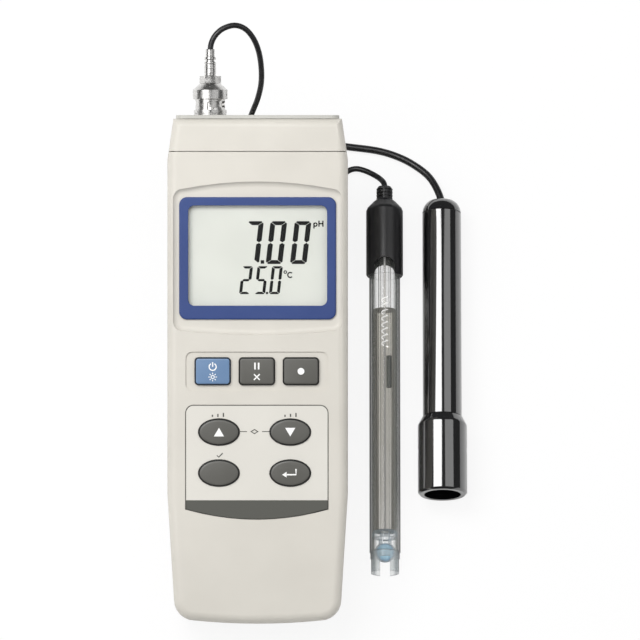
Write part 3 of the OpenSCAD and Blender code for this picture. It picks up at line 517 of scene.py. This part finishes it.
def stroke(form, points, width, low, high):
    """A printed line of an even width along a few points."""
    left, right = [], []
    for i, (x, y) in enumerate(points):
        before = points[max(i - 1, 0)]
        after = points[min(i + 1, len(points) - 1)]
        way = Vector((after[0] - before[0], after[1] - before[1])).normalized()
        left.append((x - way.y * width / 2, y + way.x * width / 2))
        right.append((x + way.y * width / 2, y - way.x * width / 2))
    add_band(form, left, right, low, high, closed=False)


def rounded_outline(x, y, width, height, radius, steps=6):
    """Outline of a rectangle with round corners."""
    points = []
    for sx, sy, start in ((1, 1, 0), (-1, 1, 90), (-1, -1, 180), (1, -1, 270)):
        corner = (x + sx * (width / 2 - radius), y + sy * (height / 2 - radius))
        points += arc(*corner, radius, start, start + 90, steps)
    return points


# Case, display and keys, with the sizes of the part's source in millimetres

FACE = 30
KEY_TOP = 31
SCOOP, LENS_T, LENS_GAP = 1.5, 1.1, 0.3
LCD_FACE = FACE - SCOOP - LENS_T - LENS_GAP
LCD_INK_TOP = LCD_FACE + 0.03
PANEL_X = -0.3
KEY_ROW_Y = 96.8
KEY_PITCH = 16.9
OVAL_AT = {"up": (-14.8, 73.5), "down": (12.5, 73.5), "enter": (12.5, 57.8)}
INK_T = 0.04


def seven_segments(form, x, y, width, height, weight, lit, slant=0.115):
    """One slanted digit whose corners are cut and split by fine lines, from its lower left."""
    gap = 0.09
    thin = weight * 0.77
    corner = weight * 0.45
    half_w, half_h = width / 2, height / 2
    bar = [
        (half_w - corner / 2 - gap, half_h - corner / 2), (half_w - corner, half_h),
        (corner - half_w, half_h), (corner / 2 + gap - half_w, half_h - corner / 2),
        (weight + gap - half_w, half_h - thin), (half_w - weight - gap, half_h - thin),
    ]
    post = [
        (half_w, weight / 3 + gap), (half_w, half_h - corner),
        (half_w - corner / 2, half_h - corner / 2 - gap), (half_w - weight, half_h - thin - gap),
        (half_w - weight, weight / 3 + gap), (half_w - weight / 2, gap),
    ]
    middle = [
        (half_w - weight * 0.6, 0), (half_w - weight, thin / 2), (weight - half_w, thin / 2),
        (weight * 0.6 - half_w, 0), (weight - half_w, -thin / 2), (half_w - weight, -thin / 2),
    ]
    shapes = {
        "a": (bar, 1, 1), "d": (bar, 1, -1), "g": (middle, 1, 1), "b": (post, 1, 1),
        "c": (post, 1, -1), "e": (post, -1, -1), "f": (post, -1, 1),
    }
    for name in lit:
        outline, side, end = shapes[name]
        add_slab(
            form,
            [(x + half_w + side * px + (half_h + end * py) * slant, y + half_h + end * py)
             for px, py in outline],
            LCD_FACE, LCD_INK_TOP,
        )


LARGE_DIGIT = (6.4, 16.4)
SMALL_DIGIT = (4.15, 10.7)
SMALL_WEIGHT = 0.6
LARGE_LINE, SMALL_LINE = 137.9, 126.35


def make_display():
    """Bezel, clear lens, display cell and its reading."""
    look = bpy.context.scene.meter_look
    dressed("display_bezel", "bezel", 0.15)
    coat("display_lens", "acrylic")
    coat("lcd_glass", "display")
    form = bmesh.new()
    zero, two, five, seven = "abcdef", "abged", "afgcd", "abc"
    ink = (LCD_FACE, LCD_INK_TOP)
    for x, lit in ((-5.89, seven), (3.05, zero), (12.35, zero)):
        seven_segments(form, x, LARGE_LINE, *LARGE_DIGIT, look.digit_weight, lit)
    for x, lit in ((-7.15, two), (-1.29, five), (4.3, zero)):
        weight = look.digit_weight * SMALL_WEIGHT
        seven_segments(form, x, SMALL_LINE, *SMALL_DIGIT, weight, lit)
    # Decimal points
    for x, y, side in ((1.15, 138.0, 1.35), (3.15, SMALL_LINE, 0.85)):
        add_slab(form, [(x, y), (x + side, y), (x + side, y + side), (x, y + side)], *ink)
    # Degree and unit marks beside the readings
    weight = 0.5
    add_ring(form, 10.6, 134.8, 0.68, 0.3, *ink)
    stroke(form, arc(12.5, 133.7, 0.95, 45, 315), weight, *ink)
    stroke(form, [(21.6, 151.5), (21.6, 153.7)], weight, *ink)
    add_ring(form, 22.15, 153.0, 0.85, 0.36, *ink)
    for x in (23.5, 25.0):
        stroke(form, [(x, 152.2), (x, 154.5)], weight, *ink)
    stroke(form, [(23.5, 153.35), (25.0, 153.35)], weight, *ink)
    make_piece(form, "display_reading", "segment", "meter")


TOP_FACES_FROM = 0.97


def paint_side_shade(piece):
    """Gives the faces of a key that turn away from its top a near-black colour, painted shade round
    the key.
    """
    piece.data.materials.append(MATERIALS["key_side_shade"])
    for face in piece.data.polygons:
        face.material_index = 0 if face.normal.dot(OUT_OF_CASE) > TOP_FACES_FROM else 1


def key_symbol(name, key, draw):
    """A printed symbol that rides on its key."""
    form = bmesh.new()
    draw(form)
    make_piece(form, name, "ink_white", key)


def make_keys():
    """Seven keys whose sides are painted near-black as shade, with plain generic symbols."""
    for name in ("power", "hold", "record", "up", "down", "set", "enter"):
        top = "key_blue" if name == "power" else "key_grey"
        paint_side_shade(dressed(name + "_key", top, smooth_angle=50))
    ink = (KEY_TOP, KEY_TOP + INK_T)
    left, middle, right = (PANEL_X + step * KEY_PITCH for step in (-1, 0, 1))
    upper, lower = KEY_ROW_Y + 1.7, KEY_ROW_Y - 2.2

    def power(form):
        stroke(form, arc(left, upper, 1.35, 120, 420), 0.42, *ink)
        stroke(form, [(left, upper), (left, upper + 1.8)], 0.42, *ink)
        add_ring(form, left, lower, 0.75, 0.45, *ink)
        for turn in range(0, 360, 45):
            ray = [arc(left, lower, r, turn, turn, 1)[0] for r in (1.05, 1.65)]
            stroke(form, ray, 0.3, *ink)

    def hold(form):
        for x in (middle - 0.7, middle + 0.7):
            stroke(form, [(x, upper - 1), (x, upper + 1.6)], 0.6, *ink)
        half = 1.1
        for rise in (-half, half):
            ends = [(middle - half, lower - rise), (middle + half, lower + rise)]
            stroke(form, ends, 0.45, *ink)

    def record(form):
        add_slab(form, arc(right, KEY_ROW_Y, 1.3, 0, 345, 23), *ink)

    def triangle(form, x, y, rise):
        add_slab(form, [(x - 1.95, y - rise), (x + 1.95, y - rise), (x, y + rise)], *ink)

    def enter(form):
        x, y = OVAL_AT["enter"]
        stroke(form, [(x + 2.2, y + 1.6), (x + 2.2, y - 0.6), (x - 1.6, y - 0.6)], 0.55, *ink)
        add_slab(form, [(x - 3.1, y - 0.6), (x - 1.4, y - 1.7), (x - 1.4, y + 0.5)], *ink)

    key_symbol("power_symbols", "power_key", power)
    key_symbol("hold_symbols", "hold_key", hold)
    key_symbol("record_symbol", "record_key", record)
    key_symbol("up_symbol", "up_key", lambda form: triangle(form, *OVAL_AT["up"], 1.65))
    key_symbol("down_symbol", "down_key", lambda form: triangle(form, *OVAL_AT["down"], -1.65))
    key_symbol("enter_symbol", "enter_key", enter)


LABEL_HALF = 27.4
LABEL_LOW, LABEL_SAG = 40, 3.9
LABEL_CORNER_Y, LABEL_CORNER_R = 80.9, 3
BAND_TOP = 47.4


def label_side(inset):
    """Right half of the key label's outline, from the middle of its lower arc to its top."""
    half = LABEL_HALF - inset
    lower = [(half * t / 8, LABEL_LOW + inset + LABEL_SAG * (t / 8) ** 2) for t in range(9)]
    radius = LABEL_CORNER_R - inset / 2
    return lower + arc(LABEL_HALF - inset - radius, LABEL_CORNER_Y - inset / 2, radius, 0, 90, 8)


def make_label():
    """Key label with its border, dark band and small marks in place of words."""
    coat("key_label", "label")
    ink = (FACE, FACE + INK_T)
    form = bmesh.new()
    both = [
        [(PANEL_X + x, y) for x, y in side] + [(PANEL_X - x, y) for x, y in reversed(side[1:])]
        for side in (label_side(0), label_side(0.3))
    ]
    add_band(form, *both, *ink)
    # Dark band under a straight edge, down to just inside the label's lower arc
    lowest = LABEL_LOW + 0.02
    band = [(PANEL_X + LABEL_HALF * t / 12, lowest + LABEL_SAG * (t / 12) ** 2)
            for t in range(-12, 13)]
    band += [(PANEL_X + LABEL_HALF, BAND_TOP), (PANEL_X - LABEL_HALF, BAND_TOP)]
    add_slab(form, band, *ink)
    # Lines that tie the two arrow keys to the mark between them
    x, y = -1.2, 73.7
    for x0, x1 in ((-6.93, -4.06), (1.69, 4.6)):
        stroke(form, [(x0, y), (x1, y)], 0.3, *ink)
    diamond = [(x - 1.6, y), (x, y + 1.0), (x + 1.6, y), (x, y - 1.0)]
    smaller = [(x + (px - x) * 0.6, y + (py - y) * 0.6) for px, py in diamond]
    add_band(form, diamond, smaller, *ink)
    # Step marks over the arrow keys, and a tick over the lower left key
    for x in (-15.2, 12.6):
        for k in (-1, 0, 1):
            stroke(form, [(x + 2.1 * k, 79.3), (x + 2.1 * k, 80.5 + 0.35 * k)], 0.5, *ink)
    stroke(form, [(-15.6, 64.6), (-14.9, 63.9), (-13.4, 65.4)], 0.45, *ink)
    make_piece(form, "label_print", "ink_grey", "meter")


def make_case():
    """Shells, head cap, panel and battery cover with softened edges."""
    dressed("front_case", "case", 0.25)
    dressed("rear_case", "case", 0.2)
    dressed("head_cap", "case", 0.2)
    dressed("socket_panel", "panel", 0.3, 3)
    dressed("battery_cover", "case", 0.15)


def make_inner_pieces():
    """Electronics, battery and the pieces that hold them."""
    finishes = {
        "white": ("lcd_holder", "backlight_panel", "coax_insulator"),
        "silicone": ("lcd_connectors", "keypad_mat"),
        "board": ("main_board",),
        "gold": ("dome_switches",),
        "epoxy": ("board_chips",),
        "jacket": ("battery",),
        "black": ("battery_snap", "probe_jack"),
        "nickel": ("coax_jack", "coax_nut"),
        "steel": ("board_screws", "stand_pin", "cover_screw", "case_screws"),
    }
    for finish, nodes in finishes.items():
        for node in nodes:
            coat(node, finish)


def make_stand():
    """Fold-out stand with softened edges and rubber pads."""
    dressed("tilt_stand", "panel", 0.35, 3)
    coat("stand_pads", "rubber")


# Coaxial plug

SOCKET_X, SOCKET_Z = -18.3, 15
KNURL_TEETH, GROOVE = 40, 0.22


def turn_round_socket(form, profile, steps, groove=0.0):
    """A closed profile of (radius, height along the case) points, turned about the socket.

    A groove is taken from every other pair of steps: two for a tooth's top and two beside it.
    """
    rings = []
    for radius, along in profile:
        ring = []
        for i in range(steps):
            turn = 2 * math.pi * i / steps
            r = radius - (groove if i % 4 > 1 else 0)
            x, z = SOCKET_X + r * math.cos(turn), SOCKET_Z + r * math.sin(turn)
            ring.append(form.verts.new(case_point(x, along, z)))
        rings.append(ring)
    add_skin(form, rings)


def make_coax_plug():
    """Bayonet plug: knurled collar, hex nut and crimped sleeve."""
    dressed("coax_collar", "nickel", 0.12)
    dressed("coax_plug", "nickel", 0.15)
    knurl = bmesh.new()
    section = [
        (6.35, 202.0), (6.7, 202.2), (6.7, 204.2), (6.35, 204.4), (6.3, 204.4), (6.3, 202.0),
    ]
    turn_round_socket(knurl, section, KNURL_TEETH * 4, GROOVE)
    make_piece(knurl, "collar_knurl", "nickel", "coax_collar", 20)
    dressed("crimp_sleeve", "nickel", 0.2)
    bands = bmesh.new()
    bulge = ((2.15, -0.45), (2.2, -0.3), (2.34, 0), (2.2, 0.3), (2.15, 0.45))
    for middle in (211.6, 213.4, 215.2, 217.0):
        turn_round_socket(bands, [(radius, middle + rise) for radius, rise in bulge], 48)
    make_piece(bands, "crimp_bands", "nickel", "meter", 60)


# Leads, in millimetres over the bench: the points repeat the ones in the part's source, but
# for the thin lead's arch over the plug, which follows the photograph more closely here

THIN_D = 2.2
THICK_D = 2.8
THIN_ROUTE_A = [
    (-18.3, 208.4, 70.2), (-17.9, 211.2, 71.1), (-16.4, 214.1, 72), (-13.4, 216.7, 72.6),
    (-8.9, 218.1, 72.4), (-4.8, 217, 71.1), (-1.6, 213.7, 68.7), (0.4, 209.3, 65.4),
    (1.3, 204.1, 61.3), (1.2, 199.2, 57.1), (-0.1, 194.6, 52.6), (-2.3, 190.4, 47.3),
    (-4.2, 186.4, 41.6), (-4.5, 181.6, 34.8), (-2.6, 176.4, 27.2), (-0.4, 170.6, 19.5),
    (1.2, 164.6, 12.5), (1.8, 159.6, 8.9), (1.8, 156, 8),
]
THIN_ROUTE_B = [
    (30.3, 156, 1.1), (30.5, 163, 1.1), (30.7, 170, 1.1), (31.6, 175.6, 1.1),
    (34, 179.4, 1.1), (37.4, 180.9, 1.2), (41, 180.1, 1.9), (44.8, 177.9, 3.4),
    (47.6, 175.4, 5.4), (49, 172.6, 7.4), (49, 168, 7.47),
]
THICK_ROUTE_A = [
    (-13.3, 193.35, 1.4), (-6, 193.3, 1.4), (4, 192.9, 1.4), (15, 192, 1.4), (26, 190.8, 1.4),
    (36, 189.6, 1.4), (45.4, 188.3, 1.5), (52.2, 186.4, 1.7), (59, 183.1, 2.2),
    (65.6, 177.8, 3.6), (69.2, 171.8, 5.8), (71.2, 165.6, 7.4), (71.2, 161, 7.5),
]
THICK_ROUTE_B = [
    (-31.4, 175.2, 7.2), (-31.5, 169, 6.9), (-31.3, 162, 6.2), (-30.7, 155, 5.4),
    (-29.8, 148.5, 4.7), (-29.1, 143, 4.4), (-29, 138, 4.4),
]
THIN_COIL, THIN_TURNS = (16, 156), 11.5
THICK_COIL, THICK_TURNS = (-13.3, 175.2), 9.25


def smooth_route(route, steps=4):
    """A smooth curve through given points."""
    points = [Vector(p) for p in route]
    out = []
    for i in range(len(points) - 1):
        a, b = points[max(i - 1, 0)], points[i]
        c, d = points[i + 1], points[min(i + 2, len(points) - 1)]
        for s in range(steps):
            t = s / steps
            out.append(
                0.5 * (2 * b + (c - a) * t + (2 * a - 5 * b + 4 * c - d) * t * t
                       + (3 * b - a - 3 * c + d) * t ** 3)
            )
    return out + [points[-1]]


def coil_turns(centre, start, turns, slots, steps=36, passing=0.25):
    """Turns of a wound coil that pass smoothly from one (radius, height) slot to the next."""
    out = []
    count = int(turns * steps)
    for i in range(1, count):
        along = i / count * len(slots)
        slot = min(int(along), len(slots) - 1)
        after = min(slot + 1, len(slots) - 1)
        blend = max(0.0, (along - slot - (1 - passing)) / passing)
        blend = blend * blend * (3 - 2 * blend)
        radius = slots[slot][0] * (1 - blend) + slots[after][0] * blend
        height = slots[slot][1] * (1 - blend) + slots[after][1] * blend
        turn = math.radians(start) + 2 * math.pi * turns * i / count
        out.append(Vector((centre[0] + radius * math.cos(turn),
                           centre[1] + radius * math.sin(turn), height)))
    return out


def lead_curve(name, points, diameter):
    """A lead over the bench as one open curve of its real thickness."""
    spots = [bench_point(point) for point in points]
    return wire_curve(name, spots, diameter, 4, "pvc", capped=True)


TIE_HALF_WIDTH = 1.6


def coil_tie(name, centre, turn, r_in, r_out, top):
    """A soft twist tie wrapped round a coil's section."""
    form = bmesh.new()
    way = Vector((math.cos(turn), math.sin(turn), 0))
    side = Vector((-way.y, way.x, 0)) * TIE_HALF_WIDTH
    middle = Vector((*centre, 0)) + way * (r_in + r_out) / 2
    width = r_out - r_in
    outline = rounded_outline(0, top / 2, width + 0.5, top - 0.04, 1.0, 5)
    inside = rounded_outline(0, top / 2, width - 0.1, top - 0.64, 0.7, 5)
    rings = [
        [form.verts.new(bench_point(middle + way * x + side * end + Vector((0, 0, z))))
         for x, z in shape]
        for shape, end in ((outline, -1), (outline, 1), (inside, 1), (inside, -1))
    ]
    add_skin(form, rings)
    return make_piece(form, name, "black", "meter")


def make_leads():
    """Both leads at their real length, with the unseen part wound behind the case."""
    outer, middle, inner = 14.3, 12.0, 9.7
    rows = (8.0, 5.7, 3.4, 1.1)
    slots = []
    for row, height in enumerate(rows):
        across = (outer, middle, inner) if row % 2 == 0 else (inner, middle, outer)
        slots += [(radius, height) for radius in across]
    points = smooth_route(THIN_ROUTE_A) + coil_turns(THIN_COIL, 180, THIN_TURNS, slots)
    points += smooth_route(THIN_ROUTE_B)
    thin = lead_curve("electrode_lead", points, THIN_D)
    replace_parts(thin, "electrode_lead_upper", "electrode_coil", "electrode_lead_lower")
    thin_tie = coil_tie("electrode_coil_tie", THIN_COIL, math.radians(300), 8.6, 15.4, 9.1)
    wide, mid, tight = 18.15, 15.25, 12.35
    low, half, high = 1.4, 4.3, 7.2
    slots = [(wide, low), (mid, low), (tight, low), (tight, half), (tight, high), (mid, high),
             (mid, half), (wide, half), (wide, high)]
    points = list(reversed(smooth_route(THICK_ROUTE_A)))
    points += coil_turns(THICK_COIL, 90, THICK_TURNS, slots) + smooth_route(THICK_ROUTE_B)
    thick = lead_curve("probe_lead", points, THICK_D)
    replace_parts(thick, "probe_lead_upper", "probe_coil", "probe_lead_lower")
    thick_tie = coil_tie("probe_coil_tie", THICK_COIL, math.radians(220), 10.95, 19.55, 8.6)
    coat("probe_plug", "black")
    coat("probe_plug_pin", "gold")


# Electrode, with the sizes of the part's source in millimetres

GLASS_R = 6.0
CAP_R, CAP_L, CAP_EDGE = 7.15, 36, 0.6
ELECTRODE_L = 154.2
ELECTRODE_X, ELECTRODE_Y = 49, 17.65
CAP_LOW = ELECTRODE_L - CAP_L
TUBE_LOW = 8.2
# It lies on the edge of its cap and on the lower end of its glass, a little aslant
ELECTRODE_RISE = math.asin((CAP_R - GLASS_R) / (CAP_LOW + CAP_EDGE - TUBE_LOW))
ELECTRODE_H = GLASS_R * math.cos(ELECTRODE_RISE) - TUBE_LOW * math.sin(ELECTRODE_RISE)
ELECTRODE_FRAME = (
    Matrix.Translation(bench_point((ELECTRODE_X, ELECTRODE_Y, ELECTRODE_H)))
    @ Matrix.Rotation(ELECTRODE_RISE - math.pi / 2, 4, "X")
)


def electrode_point(x, y, z):
    """A point of the electrode, in millimetres from its lower end, placed in the shared frame."""
    return ELECTRODE_FRAME @ Vector((mm(x), mm(y), mm(z)))


def make_filling(name, profile, material, steps):
    """A filling of the electrode, turned from (radius, height) points that end on its axis."""
    form = bmesh.new()
    rings = []
    for radius, height in profile:
        turns = [2 * math.pi * i / steps for i in range(steps if radius else 1)]
        rings.append(
            [form.verts.new(electrode_point(radius * math.cos(t), radius * math.sin(t), height))
             for t in turns]
        )
    for a, b in zip(rings, rings[1:]):
        for i in range(steps):
            j = (i + 1) % steps
            # A ring of one point on the axis gives faces of three corners
            corners = (a[i % len(a)], a[j % len(a)], b[j % len(b)], b[i % len(b)])
            form.faces.new(list(dict.fromkeys(corners)))
    make_piece(form, name, material, "meter")


def make_electrode():
    """Glass electrode: cap, tubes, wire helix, junction, bulb and slotted guard."""
    dressed("electrode_cap", "black", 0.2)
    coat("electrode_tube", "glass")
    coat("inner_tube", "inner_glass")
    coat("reference_wire", "silver")
    coat("reference_element", "junction")
    dressed("glass_bulb", "bulb_glass")
    dressed("bulb_guard", "guard", 0.15)
    # The gel wets the inner tube, and the face between them doesn't show, so the column has none
    gel = [(0, 16.4), (4.85, 16.4), (4.93, 17.0), (4.93, 104.0), (4.7, 104.6), (0, 104.9)]
    make_filling("gel_column", gel, "gel", 64)
    radius = 3.4
    side = [math.radians(angle) for angle in range(12, 180, 12)]
    ball = [(radius * math.sin(a), TUBE_LOW - radius * math.cos(a)) for a in side]
    ball = [(0, TUBE_LOW - radius), *ball, (0, TUBE_LOW + radius)]
    make_filling("inner_buffer", ball, "buffer", 32)
    turns, low, high, radius, steps = 8, 90.0, 110.0, 1.15, 20
    spots = []
    for i in range(turns * steps):
        turn = 2 * math.pi * i / steps
        height = low + (high - low) * i / (turns * steps)
        spots.append(electrode_point(radius * math.cos(turn), radius * math.sin(turn), height))
    wire_curve("reference_helix", spots, 0.48, 2, "silver_painted_glow")


def make_probe():
    """Conductivity probe in polished black, with its ring electrodes."""
    dressed("probe_dome", "polished", smooth_angle=50)
    dressed("probe_tube", "polished", 0.12)
    dressed("probe_head", "polished", 0.15)
    coat("probe_electrodes", "steel")


# Stage


def background_white(tree, surface, share):
    """Mixes white into a surface for the camera and for what glass shows of it."""
    path = add_node(tree, "ShaderNodeLightPath")
    rays = (path, "Is Camera Ray"), (path, "Is Transmission Ray")
    seen = math_node(tree, "MAXIMUM", *rays)
    amount = math_node(tree, "MULTIPLY", (seen, "Value"), share)
    white = add_node(tree, "ShaderNodeEmission", {"Color": (1, 1, 1, 1), "Strength": 1.0})
    mix = add_node(tree, "ShaderNodeMixShader")
    tree.links.new(amount.outputs[0], mix.inputs[0])
    tree.links.new(surface.outputs[0], mix.inputs[1])
    tree.links.new(white.outputs[0], mix.inputs[2])
    return mix


BOX_DISTANCE = 0.9
SET_MIDDLE = case_point(20, 105, 10)
RIGHT_STRIP_SHARE = 0.35
FLOOR_DROP = mm(0.2)


def panel_light(name, side_angle, along_angle, width, height, watts):
    """A soft box aimed at the set, at angles in degrees from the case's face."""
    data = bpy.data.lights.new(name, "AREA")
    data.shape = "RECTANGLE"
    data.size, data.size_y = width, height
    data.energy = watts
    light = in_scene(name, data)
    side = Vector((1, 0, 0))
    a, b = math.radians(side_angle), math.radians(along_angle)
    way = OUT_OF_CASE * math.cos(a) * math.cos(b) + side * math.sin(a) + ALONG_CASE * math.sin(b)
    light.location = SET_MIDDLE + way.normalized() * BOX_DISTANCE
    facing = (SET_MIDDLE - light.location).normalized()
    across = ALONG_CASE.cross(-facing).normalized()
    up = (-facing).cross(across)
    light.rotation_mode = "QUATERNION"
    light.rotation_quaternion = Matrix((across, up, -facing)).transposed().to_quaternion()
    light.visible_camera = False


# The photograph's scale: its size, the case's axis and the case's lower end in pixels
FRAME_PX = 640
MM_PER_PX = 0.383
AXIS_PX = 257.6
LOWER_END_PX = 624


def make_camera(lens):
    """Camera square on to the case's face, framed as in the photograph."""
    middle_u = (FRAME_PX / 2 - AXIS_PX) * MM_PER_PX
    middle_v = (LOWER_END_PX - FRAME_PX / 2) * MM_PER_PX
    data = bpy.data.cameras.new("camera")
    data.lens = lens
    data.sensor_width = 36
    distance = mm(FRAME_PX * MM_PER_PX) * data.lens / data.sensor_width
    data.clip_start, data.clip_end = 0.1, distance * 4
    camera = in_scene("camera", data)
    camera.location = case_point(middle_u, middle_v, FACE) + OUT_OF_CASE * distance
    camera.rotation_euler = (TILT, 0, 0)
    bpy.context.scene.camera = camera


def make_stage():
    """Camera at the photograph's angle, pale floor, world and soft boxes."""
    scene = bpy.context.scene
    look = scene.meter_look
    scene.view_settings.view_transform = "Standard"
    make_camera(look.lens)
    form = bmesh.new()
    bmesh.ops.create_grid(form, x_segments=1, y_segments=1, size=4)
    floor_mesh = bpy.data.meshes.new("floor")
    form.to_mesh(floor_mesh)
    form.free()
    floor = in_scene("floor", floor_mesh)
    floor.location.z = -FLOOR_DROP
    material, tree, shader = start_material("matte_white_sweep", "#f4f4f4", Roughness=0.9)
    mix = background_white(tree, shader, look.floor_white)
    tree.links.new(mix.outputs[0], tree.nodes["Material Output"].inputs["Surface"])
    floor_mesh.materials.append(material)
    world = bpy.data.worlds.new("studio")
    scene.world = world
    world.use_nodes = True
    tree = world.node_tree
    soft = tree.nodes["Background"]
    soft.inputs["Color"].default_value = (1, 1, 1, 1)
    mix = background_white(tree, soft, 1.0)
    path = add_node(tree, "ShaderNodeLightPath")
    levels = look.world_level, look.mirror_level
    level = map_range(tree, (path, "Is Glossy Ray"), end=levels)
    tree.links.new(level.outputs["Result"], soft.inputs["Strength"])
    tree.links.new(mix.outputs[0], tree.nodes["World Output"].inputs["Surface"])
    panel_light("left_box", -21, 29, 0.64, 0.34, look.left_watts)
    panel_light("right_box", 36, 27, 0.62, 0.34, look.right_watts)
    panel_light("left_strip", -34, 0, 0.7, 0.3, look.strip_watts)
    panel_light("right_strip", 31, 0, 0.8, 0.3, look.strip_watts * RIGHT_STRIP_SHARE)


# Settings that a user would change


class MeterLook(bpy.types.PropertyGroup):
    """Colours, light and print sizes of the meter."""

    case_colour: bpy.props.StringProperty(
        name="Case colour", description="sRGB hex colour of the moulded case", default="#d2cec5"
    )
    bezel_colour: bpy.props.StringProperty(
        name="Bezel colour", description="sRGB hex colour of the display bezel", default="#28427f"
    )
    display_colour: bpy.props.StringProperty(
        name="Display colour", description="sRGB hex colour of the display cell", default="#d5d7cf"
    )
    digit_weight: bpy.props.FloatProperty(
        name="Digit weight", description="Width of a large digit's segments in millimetres",
        default=1.95, min=1.2, max=2.4
    )
    lens: bpy.props.FloatProperty(
        name="Lens", description="Focal length of the camera", default=600,
        subtype="DISTANCE_CAMERA"
    )
    floor_white: bpy.props.FloatProperty(
        name="Floor white", description="Share of plain white in the floor as it is seen",
        default=0.88, min=0.0, max=1.0, subtype="FACTOR"
    )
    world_level: bpy.props.FloatProperty(
        name="World level", description="Strength of the even light", default=0.4, min=0.0
    )
    mirror_level: bpy.props.FloatProperty(
        name="Mirrored level", description="Strength of the surroundings that gloss mirrors",
        default=0.1, min=0.0
    )
    left_watts: bpy.props.FloatProperty(
        name="Left box", description="Power of the left soft box", default=5.4, unit="POWER"
    )
    right_watts: bpy.props.FloatProperty(
        name="Right box", description="Power of the right soft box", default=0.9, unit="POWER"
    )
    strip_watts: bpy.props.FloatProperty(
        name="Strip boxes", description="Power of the left strip box, which the plug mirrors",
        default=1.6, unit="POWER"
    )


class MakingStep:
    """What the steps share: each one runs its own making function."""

    def execute(self, context):
        self.make()
        return {"FINISHED"}


class METER_OT_case(MakingStep, bpy.types.Operator):
    """Case shells, head cap, socket panel and battery cover"""

    bl_idname = "meter.case"
    bl_label = "Case"
    make = staticmethod(make_case)


class METER_OT_display(MakingStep, bpy.types.Operator):
    """Display with its printed segments, bezel and window"""

    bl_idname = "meter.display"
    bl_label = "Display"
    make = staticmethod(make_display)


class METER_OT_keys(MakingStep, bpy.types.Operator):
    """Seven keys with their printed symbols"""

    bl_idname = "meter.keys"
    bl_label = "Keys"
    make = staticmethod(make_keys)


class METER_OT_label(MakingStep, bpy.types.Operator):
    """Print on the overlay under the oval keys"""

    bl_idname = "meter.label"
    bl_label = "Key overlay"
    make = staticmethod(make_label)


class METER_OT_inner(MakingStep, bpy.types.Operator):
    """Board, battery, sockets, screws and what holds them"""

    bl_idname = "meter.inner"
    bl_label = "Inner pieces"
    make = staticmethod(make_inner_pieces)


class METER_OT_stand(MakingStep, bpy.types.Operator):
    """Folding stand with its rubber pads"""

    bl_idname = "meter.stand"
    bl_label = "Stand"
    make = staticmethod(make_stand)


class METER_OT_plugs(MakingStep, bpy.types.Operator):
    """Coaxial plug with its bayonet collar and crimp sleeve"""

    bl_idname = "meter.plugs"
    bl_label = "Coaxial plug"
    make = staticmethod(make_coax_plug)


class METER_OT_electrode(MakingStep, bpy.types.Operator):
    """Glass electrode with its wire, gel, bulb and guard"""

    bl_idname = "meter.electrode"
    bl_label = "Glass electrode"
    make = staticmethod(make_electrode)


class METER_OT_probe(MakingStep, bpy.types.Operator):
    """Polished conductivity probe with its ring electrodes"""

    bl_idname = "meter.probe"
    bl_label = "Conductivity probe"
    make = staticmethod(make_probe)


class METER_OT_leads(MakingStep, bpy.types.Operator):
    """Both flexible leads with their ties and the loose plug"""

    bl_idname = "meter.leads"
    bl_label = "Leads"
    make = staticmethod(make_leads)


class METER_OT_stage(MakingStep, bpy.types.Operator):
    """Camera, floor, world and soft boxes"""

    bl_idname = "meter.stage"
    bl_label = "Stage"
    make = staticmethod(make_stage)


STEPS = (
    METER_OT_case, METER_OT_display, METER_OT_keys, METER_OT_label, METER_OT_inner,
    METER_OT_stand, METER_OT_plugs, METER_OT_electrode, METER_OT_probe, METER_OT_leads,
    METER_OT_stage,
)


class METER_PT_panel(bpy.types.Panel):
    """Settings and making steps of the meter"""

    bl_label = "Portable meter"
    bl_idname = "METER_PT_panel"
    bl_space_type = "VIEW_3D"
    bl_region_type = "UI"
    bl_category = "Meter"

    def draw(self, context):
        look = context.scene.meter_look
        for name in MeterLook.__annotations__:
            self.layout.prop(look, name)
        for step in STEPS:
            self.layout.operator(step.bl_idname)


CLASSES = (MeterLook, *STEPS, METER_PT_panel)


def register():
    for cls in CLASSES:
        bpy.utils.register_class(cls)
    bpy.types.Scene.meter_look = bpy.props.PointerProperty(type=MeterLook)


def unregister():
    del bpy.types.Scene.meter_look
    for cls in reversed(CLASSES):
        bpy.utils.unregister_class(cls)


def main():
    register()
    make_materials(bpy.context.scene.meter_look)
    bpy.ops.meter.case()
    bpy.ops.meter.display()
    bpy.ops.meter.keys()
    bpy.ops.meter.label()
    bpy.ops.meter.inner()
    bpy.ops.meter.stand()
    bpy.ops.meter.plugs()
    bpy.ops.meter.electrode()
    bpy.ops.meter.probe()
    bpy.ops.meter.leads()
    bpy.ops.meter.stage()


if __name__ == "__main__":
    main()
